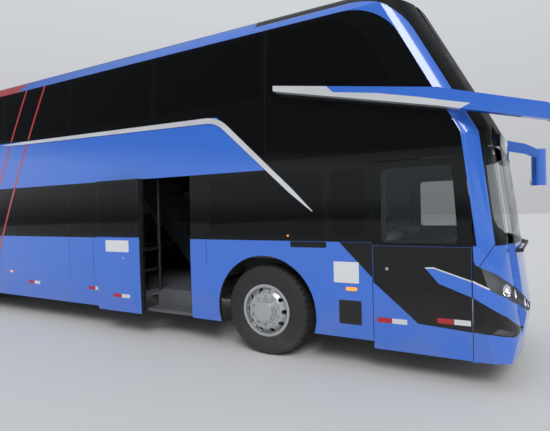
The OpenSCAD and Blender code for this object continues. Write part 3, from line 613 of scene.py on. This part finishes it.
# CAD node, piece, material, slot, outlines, reach of the cut, kind of cut, way out of the piece.
shell_pieces = (
    ("roof", "roof_skin", body_blue, "body_blue", red_band + black_dome, WHOLE, "DIFFERENCE",
     from_core),
    ("roof", "roof_dome", gloss_black, "black_steel", black_dome, WHOLE, "INTERSECT", from_core),
    ("roof", "roof_band", film_red, "lamp_red", red_band, WHOLE, "INTERSECT", from_core),
    ("front_hoop", "hoop", body_blue, "body_blue", black_corner + foot_seam, WHOLE,
     "DIFFERENCE", from_middle),
    ("front_hoop", "hoop_dome", gloss_black, "black_steel", black_corner, WHOLE, "INTERSECT",
     from_middle),
    ("rear_mask", "rear", body_blue, "body_blue", rear_window, TAIL, "DIFFERENCE", from_tail),
)
for node, name, material, slot, outlines, reach, kind, outward in shell_pieces:
    line_inside(skin_of(node, name, "coach", material, [(outlines,) + reach + (kind,)]),
                outward)

# Front mask
# The mask and the lamps in it are one smooth face, split along the joints of its panels: blue
# fender and band, glossy black surround and bumper insert, bright edge, headlamps and fog lamps.
lamp_shape = [(6.396, 1.120), (6.517, 1.060), (6.632, 0.960), (6.742, 0.830), (6.815, 0.690),
              (6.805, 0.635), (6.700, 0.745), (6.598, 0.840), (6.481, 0.905), (6.439, 0.960)]
fog_shape = [(6.484, 0.536), (6.533, 0.572), (6.666, 0.532), (6.645, 0.500), (6.510, 0.524)]
surround = [(6.300, 1.42), (6.326, 1.42), (6.336, 1.178), (6.350, 1.145), (6.410, 1.110),
            (6.470, 0.990), (6.455, 0.932), (6.300, 1.013)]
insert = [(6.300, 0.866), (6.449, 0.770), (6.601, 0.670), (6.740, 0.525), (6.660, 0.485),
          (6.481, 0.520), (6.300, 0.531)]
bright_edge = [(6.300, 1.018), (6.452, 0.940), (6.470, 0.928), (6.452, 0.922), (6.300, 1.001)]
LAMP_INNER_Y = 0.43
LAMP_MIDDLE = (6.60, 1.0, 0.88)
LAMP_GROWTH = 1.0012
BROW_Z = 1.6
lamp_sides = [side_range(side, LAMP_INNER_Y, 1.5) for side, mark in SIDES]
lamp_blocks = clean_copy("headlamps")
for point in lamp_blocks.vertices:
    x, y, z = LAMP_MIDDLE
    middle_of_lamp = Vector((x, math.copysign(y, point.co.y), z))
    point.co = middle_of_lamp + (point.co - middle_of_lamp) * LAMP_GROWTH
front_face = combine(clean_copy("front_mask"), lamp_blocks, "UNION")
not_lamps = [([lamp_shape],) + half + ("DIFFERENCE",) for half in lamp_sides]
not_edge = ([bright_edge],) + WHOLE + ("DIFFERENCE",)
bright_metal = grained("bright_metal", (0.80, 0.81, 0.83), 0.28, 0.45, grain=500, bump=0.05)
mask = line_inside(skin_of("front_mask", "mask", "coach", body_blue, not_lamps + [
    ([surround, insert],) + WHOLE + ("DIFFERENCE",), not_edge,
    (foot_seam,) + WHOLE + ("DIFFERENCE",)], front_face), from_middle)
mask.data.materials.append(gloss_black)
for face in mask.data.polygons:
    if face.center.z > BROW_Z:
        face.material_index = 2
line_inside(skin_of("front_mask", "mask_black", "coach", gloss_black, not_lamps + [
    ([surround, insert],) + WHOLE + ("INTERSECT",),
    ([fog_shape],) + WHOLE + ("DIFFERENCE",), not_edge], front_face), from_middle)
skin_of("front_mask", "mask_edge", "coach", bright_metal,
        not_lamps + [([bright_edge],) + WHOLE + ("INTERSECT",)], front_face)
hatch_plastic = grained("hatch_plastic", (0.55, 0.57, 0.58), 0.4, grain=300, bump=0.2)
skin_of("roof_unit", "hatches", "coach", hatch_plastic)

# Bonded glass
# Tinted safety glass glued to the frame. The edges carry a black ceramic print, and the panes
# inside it let a little light through. The crew's windows and the lower windscreen are clearer.
def glazing(name, colour, alpha, specular):
    """Smooth tinted glass or the print on it."""
    material = grained(name, colour, 0.04, grain=20, bump=0.0, spread=0.1)
    shader = material.node_tree.nodes["Principled BSDF"]
    shader.inputs["Specular IOR Level"].default_value = specular
    shader.inputs["Alpha"].default_value = alpha
    return material


print_black = glazing("print_black", (0.003, 0.0035, 0.004), 1.0, 0.25)
dark_pane = glazing("dark_pane", (0.002, 0.0025, 0.003), 0.90, 0.25)
clear_pane = glazing("clear_pane", (0.03, 0.045, 0.045), 0.28, 0.5)

pane_joints = (2.455, 0.73, -0.995, -2.72, -4.445)
upper_windows = [box_outline(x + 0.05, x + 1.675, 2.98, 3.72, 0.03) for x in pane_joints]
upper_windows.append([(4.23, 2.98), (5.60, 2.98), (5.35, 3.45), (5.18, 3.62), (5.0, 3.70),
                      (4.9, 3.72), (4.23, 3.72)])
lower_windows = [box_outline(x0, x1, 1.387, 2.091, 0.03) for x0, x1 in (
    (0.78, 2.20), (-0.95, 0.68), (3.395, 4.88), (4.98, 5.345), (2.30, 3.295))]
crew_outline = [(5.505, 1.390), (5.512, 1.355), (5.545, 1.338), (6.165, 1.338), (6.195, 1.350),
                (6.205, 1.390), (6.165, 2.010), (6.150, 2.050), (6.110, 2.070), (5.560, 2.070),
                (5.520, 2.055), (5.505, 2.015)]
driver_outline = box_outline(5.50, 6.18, 1.40, 2.07, 0.05)


def glass_of(node, name, body, windows, pane, reach, beside=()):
    """Splits a CAD glass into its printed border and its panes."""
    skin_of(node, f"{name}_print", body, print_black,
            [(windows + list(beside),) + reach + ("DIFFERENCE",)])
    skin_of(node, f"{name}_panes", body, pane,
            [(windows,) + reach + ("INTERSECT",)])


for side, mark in SIDES:
    reach = side_range(side, 0.9, 1.5)
    # The doorway takes the place of the last lower window on the right.
    windows = upper_windows + (lower_windows if side > 0 else lower_windows[:-1])
    glass_of(f"glass_{mark}", f"glass_{mark}", "coach", windows, dark_pane, reach,
             blue_corner + ([driver_outline] if side > 0 else []))
    skin_of(f"glass_{mark}", f"pillar_corner_{mark}", "coach", body_blue,
            [(blue_corner,) + reach + ("INTERSECT",)])
skin_of("glass_left", "driver_window", "coach", clear_pane,
        [([driver_outline],) + side_range(1, 0.9, 1.5) + ("INTERSECT",)])
half_screen = [(0.0, 1.275), (0.70, 1.285), (0.92, 1.30), (1.132, 1.38), (1.175, 1.47),
               (1.185, 1.60), (1.178, 2.30), (1.150, 2.35), (1.012, 2.27), (0.725, 2.195),
               (0.40, 2.165), (0.0, 2.16)]
half_top = [(0.0, 2.47), (0.60, 2.49), (0.95, 2.54), (1.06, 2.62), (1.03, 3.10), (0.93, 3.38),
            (0.60, 3.52), (0.0, 3.56)]
low_screen, top_screen = (half[:-1] + [(-y, z) for y, z in half[::-1]][:-1]
                          for half in (half_screen, half_top))
for name, material, screens, kind in (
        ("windscreen_print", print_black, [low_screen, top_screen], "DIFFERENCE"),
        ("windscreen_low", clear_pane, [low_screen], "INTERSECT"),
        ("windscreen_top", dark_pane, [top_screen], "INTERSECT")):
    skin_of("front_glass", name, "coach", material,
            [(screens, "X", 4.5, 7.2, kind)])
skin_of("rear_mask", "rear_window", "coach", print_black,
        [(rear_window,) + TAIL + ("INTERSECT",)])


def side_sheets(made, outlines, proud, thick=0.0012, out=0.0, side=-1):
    """Thin closed sheets that follow the curve of a side, proud of it by the given amount."""
    strip = 0.1
    for outline in outlines:
        sheet = bmesh.new()
        sheet.faces.new([sheet.verts.new((x, 0, z)) for x, z in outline])
        highest = max(z for _, z in outline)
        level_z = min(z for _, z in outline) + strip
        while level_z < highest - 0.02:
            bmesh.ops.bisect_plane(sheet, geom=sheet.verts[:] + sheet.edges[:] + sheet.faces[:],
                                   plane_co=(0, 0, level_z), plane_no=(0, 0, 1))
            level_z += strip
        for vert in sheet.verts:
            vert.co.y = side * (side_y(vert.co.z) + out + proud - thick)
        grown = bmesh.ops.extrude_face_region(sheet, geom=sheet.faces[:])
        for item in grown["geom"]:
            if isinstance(item, bmesh.types.BMVert):
                item.co.y += side * thick
        bmesh.ops.recalc_face_normals(sheet, faces=sheet.faces)
        mesh = bpy.data.meshes.new("sheet")
        sheet.to_mesh(mesh)
        sheet.free()
        made.from_mesh(mesh)
        bpy.data.meshes.remove(mesh)


def sheet_piece(name, outlines, material, proud, thick=0.0012, out=0.0, side=-1,
                body="coach"):
    """A finished piece of thin sheets on one side."""
    made = bmesh.new()
    side_sheets(made, outlines, proud, thick, out, side)
    return finished(made, name, body, material)


# Rubber seals stand in the gaps between the panes, a little below the glass.
seal_rubber = grained("seal_rubber", (0.012, 0.012, 0.013), 0.75, grain=500, bump=0.2)
seal_lines = [box_outline(x - 0.005, x + 0.005, 2.93, 3.76) for x in pane_joints]
seal_lines += [box_outline(x - 0.005, x + 0.005, 1.342, 2.138) for x in (4.93, 3.345, 0.73)]
seal_lines += [box_outline(4.175, 4.185, 2.15, 3.76), box_outline(4.62, 5.41, 2.135, 2.147),
               box_outline(5.398, 5.4115, 1.30, 2.14)]
for side, mark in SIDES:
    sheet_piece(f"pane_seals_{mark}", seal_lines, seal_rubber, proud=-0.0035,
                thick=0.004, side=side)


# Lamps
# Clear lenses over dark bezels, with chromed bowls behind them and two faintly lit bulbs on
# each side. The tail lamps are plain red lenses, and the small side lamps are orange and lit.
def lens_material(name, colour, roughness, alpha, glow=None):
    """A moulded lens or a bulb, lit if it has a glow."""
    material = grained(name, colour, roughness, grain=120, bump=0.1, coat=1.0)
    shader = material.node_tree.nodes["Principled BSDF"]
    shader.inputs["Alpha"].default_value = alpha
    if glow:
        shader.inputs["Emission Color"].default_value = glow + (1,)
        shader.inputs["Emission Strength"].default_value = 0.9
    return material


clear_lens = lens_material("clear_lens", (0.80, 0.84, 0.88), 0.05, 0.10)
red_lens = lens_material("red_lens", (0.42, 0.012, 0.014), 0.12, 1.0)
orange_lens = lens_material("orange_lens", (0.85, 0.25, 0.03), 0.2, 1.0, (1.0, 0.30, 0.04))
white_glow = lens_material("white_glow", (0.9, 0.92, 0.95), 0.2, 1.0, (0.9, 0.95, 1.0))
lamp_chrome = grained("lamp_chrome", (0.75, 0.77, 0.80), 0.12, 1.0, grain=60, bump=0.05)
lamp_bezel = grained("lamp_bezel", (0.05, 0.052, 0.056), 0.3, 0.4, grain=150, bump=0.1)


for half, (side, mark) in zip(lamp_sides, SIDES):
    for node, name, outline in (("headlamps", "headlamp", lamp_shape),
                                ("front_mask", "fog_lamp", fog_shape)):
        line_inside(skin_of(node, f"{name}_{mark}", "coach", clear_lens,
                            [([outline],) + half + ("INTERSECT",)], front_face, 25),
                    from_middle, lamp_bezel)
skin_of("tail_lamps", "rear_lamps", "coach", red_lens)
surface = bmesh.new()
surface.from_mesh(front_face)
lamp_tree = BVHTree.FromBMesh(surface)
surface.free()


# A place ahead of the coach, to look back at the face of the lamps from.
AHEAD_X = 7.5


def bowl(made, y, z, r, depth):
    """A round bowl set in the lamp, its rim just under the lens."""
    hit, normal, _, _ = lamp_tree.ray_cast(Vector((AHEAD_X, y, z)), Vector((-1, 0, 0)))
    if hit is None:
        return
    turn = Vector((0, 0, 1)).rotation_difference(
        -normal if normal.x < 0 else normal).to_matrix()
    count, steps, below = 32, 8, 0.004
    rings = []
    for step in range(steps):
        slope = step / steps * math.pi / 2
        radius, drop = r * math.cos(slope), -below - depth * math.sin(slope)
        rings.append([made.verts.new(hit + turn @ Vector((
            radius * math.cos(a * 2 * math.pi / count),
            radius * math.sin(a * 2 * math.pi / count), drop))) for a in range(count)])
    bottom = made.verts.new(hit + turn @ Vector((0, 0, -below - depth)))
    for a in range(count):
        b = (a + 1) % count
        for lower, upper in zip(rings, rings[1:]):
            made.faces.new((lower[a], lower[b], upper[b], upper[a]))
        made.faces.new((rings[-1][a], rings[-1][b], bottom))


bowls = bmesh.new()
glows = bmesh.new()
# Distance from the middle, height, radius and depth of each bowl, and of each lit bulb.
for side, mark in SIDES:
    for y, z, r, depth in ((1.14, 0.905, 0.058, 0.030), (0.98, 0.845, 0.056, 0.028),
                           (0.83, 0.748, 0.050, 0.026), (0.68, 0.698, 0.034, 0.020)):
        bowl(bowls, side * y, z, r, depth)
    for y, z, r, depth in ((1.14, 0.905, 0.020, 0.002), (0.98, 0.845, 0.020, 0.002)):
        bowl(glows, side * y, z, r, depth)
finished(bowls, "lamp_bowls", "coach", lamp_chrome)
finished(glows, "lamp_bulbs", "coach", white_glow)

# Bright trims
# Anodised aluminium sections clipped along the windows, turned round the corner in one sweep
# and drawn out to a point.
def sweep_outline():
    """Outline of the trim in X and Z around its bent middle line."""
    start, bend, tip = Vector((-1.0, 2.890)), Vector((3.52, 2.800)), Vector((4.77, 1.66))
    first, last = (start - bend).normalized(), (tip - bend).normalized()
    reach = 0.17
    middle = [(start, 0.004), (start.lerp(bend, 0.12), 0.022)]
    for step in range(9):
        t = step / 8
        a, b = bend + first * reach, bend + last * reach
        middle.append((a * (1 - t) ** 2 + bend * 2 * t * (1 - t) + b * t * t, 0.034))
    middle += [(bend.lerp(tip, 0.80), 0.026), (tip, 0.003)]
    upper, lower = [], []
    for k, (point, half) in enumerate(middle):
        along = (middle[min(k + 1, len(middle) - 1)][0] - middle[max(k - 1, 0)][0]).normalized()
        across = Vector((-along.y, along.x))
        upper.append(tuple(point + across * half))
        lower.append(tuple(point - across * half))
    return lower + upper[::-1]


for side, mark in SIDES:
    trim = sheet_piece(f"window_trim_{mark}", [sweep_outline()], bright_metal,
                       proud=0.010, thick=0.012, side=side)
    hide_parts("trims")

# Mirrors and wipers
# Moulded arms painted like the body with a silver rear part, and mirror glass on the side that
# faces back. The wiper arms are black steel.
silver_part = [[(4.30, 3.12), (4.94, 3.04), (4.985, 2.949), (5.047, 2.886), (5.500, 2.810),
                (5.881, 2.719), (6.147, 2.646), (6.330, 2.600), (6.10, 2.50), (4.30, 2.75)]]
BOTH_ARMS = ("Y", -1.6, 1.6)
mirror_arms = skin_of("mirrors", "mirror_arms", "coach", body_blue,
                      [(silver_part,) + BOTH_ARMS + ("DIFFERENCE",)])
skin_of("mirrors", "mirror_arm_silver", "coach", bright_metal,
        [(silver_part,) + BOTH_ARMS + ("INTERSECT",)])
mirror_silver = grained("mirror_silver", (0.80, 0.81, 0.82), 0.03, 1.0, grain=40, bump=0.0)
mirror_arms.data.materials.append(mirror_silver)
# The heads hang ahead of the screen and below the arms, and their glass faces back.
HEAD_X, HEAD_TOP_Z, BACKWARD = 6.9, 2.45, -0.8
for face in mirror_arms.data.polygons:
    in_head = face.center.x > HEAD_X and face.center.z < HEAD_TOP_Z
    if in_head and face.normal.x < BACKWARD:
        face.material_index = 1
black_satin = grained("black_satin", (0.018, 0.018, 0.020), 0.38, grain=400, bump=0.15)
coat_node(black_satin, "wipers")

# Passenger door
# A bonded panel in the body colour with its own glass, hung on two bent arms
# that turn with an upright black steel post.
line_inside(skin_of("entrance_door", "passenger_door_panel", "passenger_door", body_blue), from_side(-1))
glass_low, glass_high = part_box("entrance_glass")
door_window = [box_outline(glass_low.x + 0.06, glass_high.x - 0.06, glass_low.z + 0.05,
                           glass_high.z - 0.05, 0.04)]
glass_of("entrance_glass", "door_glass", "passenger_door", door_window, dark_pane,
         side_range(-1, 1.2, 1.7))
skin_of("entrance_arm", "door_arms", "door_arm", black_satin)

# Crew door
# The same panel work, hinged at its front edge, with a black film that runs on over the panel
# behind it and a blue blade with a bright edge. The fixed left wall has the same film and blade.
line_inside(skin_of("cab_door", "crew_door_panel", "crew_door", body_blue),
            from_side(-1), under_glass=True)
glass_of("cab_glass", "crew_glass", "crew_door", [crew_outline], clear_pane,
         side_range(-1, 0.8, 1.5))
crew_film = [(5.418, 0.935), (5.484, 0.879), (5.844, 0.560), (6.317, 0.528), (6.317, 1.305),
             (5.418, 1.305)]
panel_film = [(5.065, 1.335), (5.4075, 0.978), (5.4075, 1.335)]
blade = [(6.315, 0.852), (6.315, 0.992), (5.992, 1.100), (5.922, 1.097), (6.036, 0.960)]
blade_edge = [(6.315, 0.992), (6.315, 1.004), (5.990, 1.113), (5.913, 1.108), (5.922, 1.097),
              (5.992, 1.100)]
for side, mark in SIDES:
    door_side, body = ("crew", "crew_door") if side < 0 else ("left", "coach")
    sheet_piece(f"panel_film_{mark}", [panel_film], gloss_black, proud=0.0008,
                side=side)
    sheet_piece(f"{door_side}_film", [crew_film], gloss_black, proud=0.0008,
                side=side, body=body)
    sheet_piece(f"{door_side}_blade", [blade], body_blue, proud=0.0065,
                thick=0.006, side=side, body=body)
    sheet_piece(f"{door_side}_blade_edge", [blade_edge], bright_metal,
                proud=0.0085, thick=0.008, side=side, body=body)

# Films, tapes and blank plates
# Thin printed films: two slim slanted red lines, red and white warning tapes, blank white plates
# and a blank black strip. Small orange side lamps stand between them.
film_white = grained("film_white", (0.70, 0.71, 0.72), 0.4, grain=90, bump=0.03, spread=0.04,
                     dust=0.15, dust_top=0.9, dust_low=0.3)
tape_red = grained("tape_red", (0.42, 0.020, 0.028), 0.3, grain=900, bump=0.5, spread=0.05)
tape_white = grained("tape_white", (0.62, 0.64, 0.66), 0.3, grain=900, bump=0.5, spread=0.05)


def slanted(x, z0, z1, width=0.045, slope=0.45):
    """A band that leans forward, from its place at road level."""
    return [(x + slope * z0, z0), (x + width + slope * z0, z0),
            (x + width + slope * z1, z1), (x + slope * z1, z1)]


def tape_row(start, length, places):
    """Boxes of one height of tape, each from the start of its red half and its middle height."""
    return [box_outline(x + start, x + start + length, z - 0.025, z + 0.025) for x, z in places]


FILM = 0.0012
# The lines stop at each joint of the side: foot and head of every stretch.
stretches = ((0.36, 1.334), (1.342, 2.134), (2.146, 2.85), (2.93, 3.765))
red_lines = [slanted(x, z0, z1) for x in (-2.10, -1.62) for z0, z1 in stretches]
wall_tapes = [(-0.304, 0.59), (1.15, 0.59), (-5.2, 0.62)]
lamp_boxes = [box_outline(5.13, 5.25, 0.832, 0.870, 0.017),
              box_outline(-0.80, -0.74, 0.722, 0.752, 0.012),
              box_outline(-5.33, -5.27, 0.722, 0.752, 0.012),
              box_outline(4.462, 4.482, 1.386, 1.406, 0.008)]
# Piece, outlines, material, slot, how far it stands proud.
wall_films = (
    ("red_lines", red_lines, film_red, "lamp_red", 0.0010),
    ("tapes_red", tape_row(0.0, 0.145, wall_tapes), tape_red, "lamp_red", FILM),
    ("tapes_white", tape_row(0.147, 0.145, wall_tapes), tape_white, "hatch_grey", FILM),
    ("plate", [box_outline(5.0, 5.27, 0.91, 1.13, 0.006)], film_white, "hatch_grey", FILM),
    ("strip", [box_outline(4.50, 4.92, 1.270, 1.334, 0.004)], gloss_black, "black_steel", FILM),
)
for side, mark in SIDES:
    for name, outlines, material, slot, proud in wall_films:
        sheet_piece(f"{name}_{mark}", outlines, material, proud, side=side)
    sheet_piece(f"side_lamps_{mark}", lamp_boxes, orange_lens, proud=0.009,
                thick=0.010, side=side)
sheet_piece("crew_tape_red", [box_outline(6.017, 6.163, 0.585, 0.635),
                              box_outline(5.45, 5.595, 0.535, 0.585)],
            tape_red, proud=0.0022, body="crew_door")
sheet_piece("crew_tape_white", [box_outline(6.165, 6.305, 0.585, 0.635),
                                box_outline(5.597, 5.742, 0.535, 0.585)],
            tape_white, proud=0.0022, body="crew_door")
DOOR_OUT = 0.145
for name, outline, material, slot in (
        ("door_tape_red", box_outline(1.843, 1.998, 0.535, 0.585), tape_red, "lamp_red"),
        ("door_tape_white", box_outline(2.0, 2.157, 0.535, 0.585), tape_white, "hatch_grey"),
        ("door_plate", box_outline(1.72, 2.16, 1.157, 1.315, 0.005), film_white, "hatch_grey")):
    sheet_piece(name, [outline], material, FILM, out=DOOR_OUT, body="passenger_door")

# Air grille
# A black moulded frame with thin slats, clipped into each side between the front wheel
# and the crew door.
SLAT_PITCH = 0.0165
slats = [box_outline(5.062, 5.278, 0.492 + row * SLAT_PITCH, 0.500 + row * SLAT_PITCH)
         for row in range(14)]
for side, mark in SIDES:
    grille = bmesh.new()
    side_sheets(grille, [box_outline(5.05, 5.29, 0.48, 0.73, 0.012)], proud=0.0015,
                thick=0.003, side=side)
    side_sheets(grille, slats, proud=0.0060, thick=0.006, side=side)
    finished(grille, f"air_grille_{mark}", "coach", black_satin, 30)

# Locks
# Small turned steel barrels, pressed one into the crew door and one into the passenger door,
# a little proud of the panel.
lock_steel = grained("lock_steel", (0.55, 0.56, 0.57), 0.3, 1.0, grain=300, bump=0.1)


def barrel(made, centre, side, steps):
    """Stacked steps along Y: two radii, two depths and a count of corners each."""
    for r0, r1, depth0, depth1, count in steps:
        rings = [[made.verts.new((
            centre.x + radius * math.cos(a * 2 * math.pi / count), centre.y + side * depth,
            centre.z + radius * math.sin(a * 2 * math.pi / count))) for a in range(count)]
            for radius, depth in ((r0, depth0), (r1, depth1))]
        made.faces.new(rings[0])
        made.faces.new(rings[1][::-1])
        for a in range(count):
            b = (a + 1) % count
            made.faces.new((rings[0][a], rings[0][b], rings[1][b], rings[1][a]))


LOCK_STEPS = ((0.016, 0.016, -0.004, 0.002, 24), (0.013, 0.011, 0.002, 0.0045, 24))
for name, body, x, z, out in (("crew_lock", "crew_door", 5.556, 1.078, 0.0016),
                              ("door_lock", "passenger_door", 2.058, 1.072, DOOR_OUT)):
    turned = bmesh.new()
    barrel(turned, Vector((x, -(side_y(z) + out), z)), -1, LOCK_STEPS)
    finished(turned, name, body, lock_steel)

# Luggage flaps and engine lid
# Pressed sheet lids in the body colour, lined inside in near black, partly dark trim and partly
# painted shade, and hinged along their upper edges.
for side, mark in SIDES:
    line_inside(skin_of(f"flap_{mark}", f"flap_skin_{mark}", f"luggage_flap_{mark}", body_blue), from_side(side))
line_inside(skin_of("engine_lid", "engine_lid_skin", "engine_cover", body_blue),
            from_tail)

# Wheels
# Pressed steel rims in silver paint with ten chromed nuts each, and radial truck tyres with four
# zigzag grooves, cross slots at the shoulders and ribs on the sidewalls.
rim_silver = grained("rim_silver", (0.50, 0.51, 0.52), 0.35, 0.7, grain=240, bump=0.08, dust=0.35,
                     dust_low=-0.6, dust_top=0.6)
nut_steel = grained("nut_steel", (0.60, 0.61, 0.62), 0.22, 1.0, grain=300, bump=0.1)
rubber = grained("rubber", (0.020, 0.020, 0.021), 0.72, grain=320, bump=0.4, dust=0.4,
                 dust_low=-0.6, dust_top=0.6)
TYRE_R = 0.522
TYRE_HALF = 0.149
BEAD_R = 0.286
WALL_RISE = 0.210
GROOVE_R = 0.508
WALL_BULGE = 0.016
WALL_RIB = 0.0012
SLOT_DEPTH = 0.010
ZIGZAG = 0.003
TREAD_BLOCKS = 44
TWIN_STEP = 0.326
# How far the seat of the nuts lies outside the middle of the outer tyre.
SINGLE_FACE, TWIN_FACE = 0.163, -0.149
NUT_COUNT = 10
NUT_CIRCLE_R = 0.1675
# Collar, hexagon and stud end: two radii, two depths and a count of corners each.
NUT_STEPS = ((0.0225, 0.0225 * 0.94, -0.001, 0.005, 20), (0.0175, 0.0175 * 0.94, 0.005, 0.024, 6),
             (0.0105, 0.0105 * 0.94, 0.024, 0.034, 14))


def tyre_section():
    """Half section from the bead to the middle: radius, distance from the middle, kind."""
    points = [(BEAD_R, 0.128, "wall")]
    for step in range(1, 15):
        t = step / 14
        rib = WALL_RIB if step in (3, 11) else 0.0
        bulge = TYRE_HALF - WALL_BULGE * (2 * t - 0.9) ** 2 - WALL_RIB
        points.append((BEAD_R + t * WALL_RISE, bulge + rib, "wall"))
    points += [(GROOVE_R, 0.119, "slot"), (0.516, 0.105, "slot"), (0.5205, 0.092, "slot"),
               (TYRE_R, 0.080, "slot"), (TYRE_R, 0.062, "top"), (GROOVE_R, 0.059, "zig"),
               (GROOVE_R, 0.051, "zig"), (TYRE_R, 0.048, "zig"), (TYRE_R, 0.022, "top"),
               (GROOVE_R, 0.019, "zig"), (GROOVE_R, 0.011, "zig"), (TYRE_R, 0.008, "zig")]
    return points


def add_tyre(made, x, y, z):
    """One tyre, its slots and zigzags cut block by block round the tread."""
    half = tyre_section()
    section = half + [(r, -w, kind) for r, w, kind in half[::-1]]
    rings = []
    for block in range(TREAD_BLOCKS):
        for offset, slotted, zig in ((0.00, 0, 1), (0.04, 1, 1), (0.16, 1, 0.5), (0.20, 0, 0),
                                     (0.60, 0, -1)):
            angle = (block + offset) * 2 * math.pi / TREAD_BLOCKS
            ring = []
            for r, w, kind in section:
                radius = r - (SLOT_DEPTH if slotted and kind == "slot" else 0)
                across = w + (ZIGZAG * zig if kind == "zig" else 0)
                ring.append(made.verts.new((x + radius * math.sin(angle), y + across,
                                            z + radius * math.cos(angle))))
            rings.append(ring)
    for a, b in zip(rings, rings[1:] + rings[:1]):
        for k in range(len(section)):
            n = (k + 1) % len(section)
            made.faces.new((a[k], a[n], b[n], b[k]))


for place in ("front", "drive", "tag"):
    for side, mark in SIDES:
        body = f"{place}_wheel_{mark}"
        skin_of(f"{place}_rim_{mark}", f"{place}_rim_skin_{mark}", body, rim_silver)
        low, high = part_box(f"{place}_tyre_{mark}")
        axle = Vector(((low.x + high.x) / 2, 0, (low.z + high.z) / 2))
        outer = max(abs(low.y), abs(high.y)) - TYRE_HALF
        twin = place == "drive"
        made = bmesh.new()
        for y in ([outer, outer - TWIN_STEP] if twin else [outer]):
            add_tyre(made, axle.x, side * y, axle.z)
        tyre = finished(made, f"{place}_tyre_tread_{mark}", body, rubber, 30)
        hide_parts(f"{place}_tyre_{mark}")
        face_y = outer + (TWIN_FACE if twin else SINGLE_FACE)
        made = bmesh.new()
        for k in range(NUT_COUNT):
            turn = (k + 0.5) * 2 * math.pi / NUT_COUNT
            barrel(made, Vector((axle.x + NUT_CIRCLE_R * math.cos(turn), side * face_y,
                                 axle.z + NUT_CIRCLE_R * math.sin(turn))), side, NUT_STEPS)
        finished(made, f"{place}_nuts_{mark}", body, nut_steel, 30)
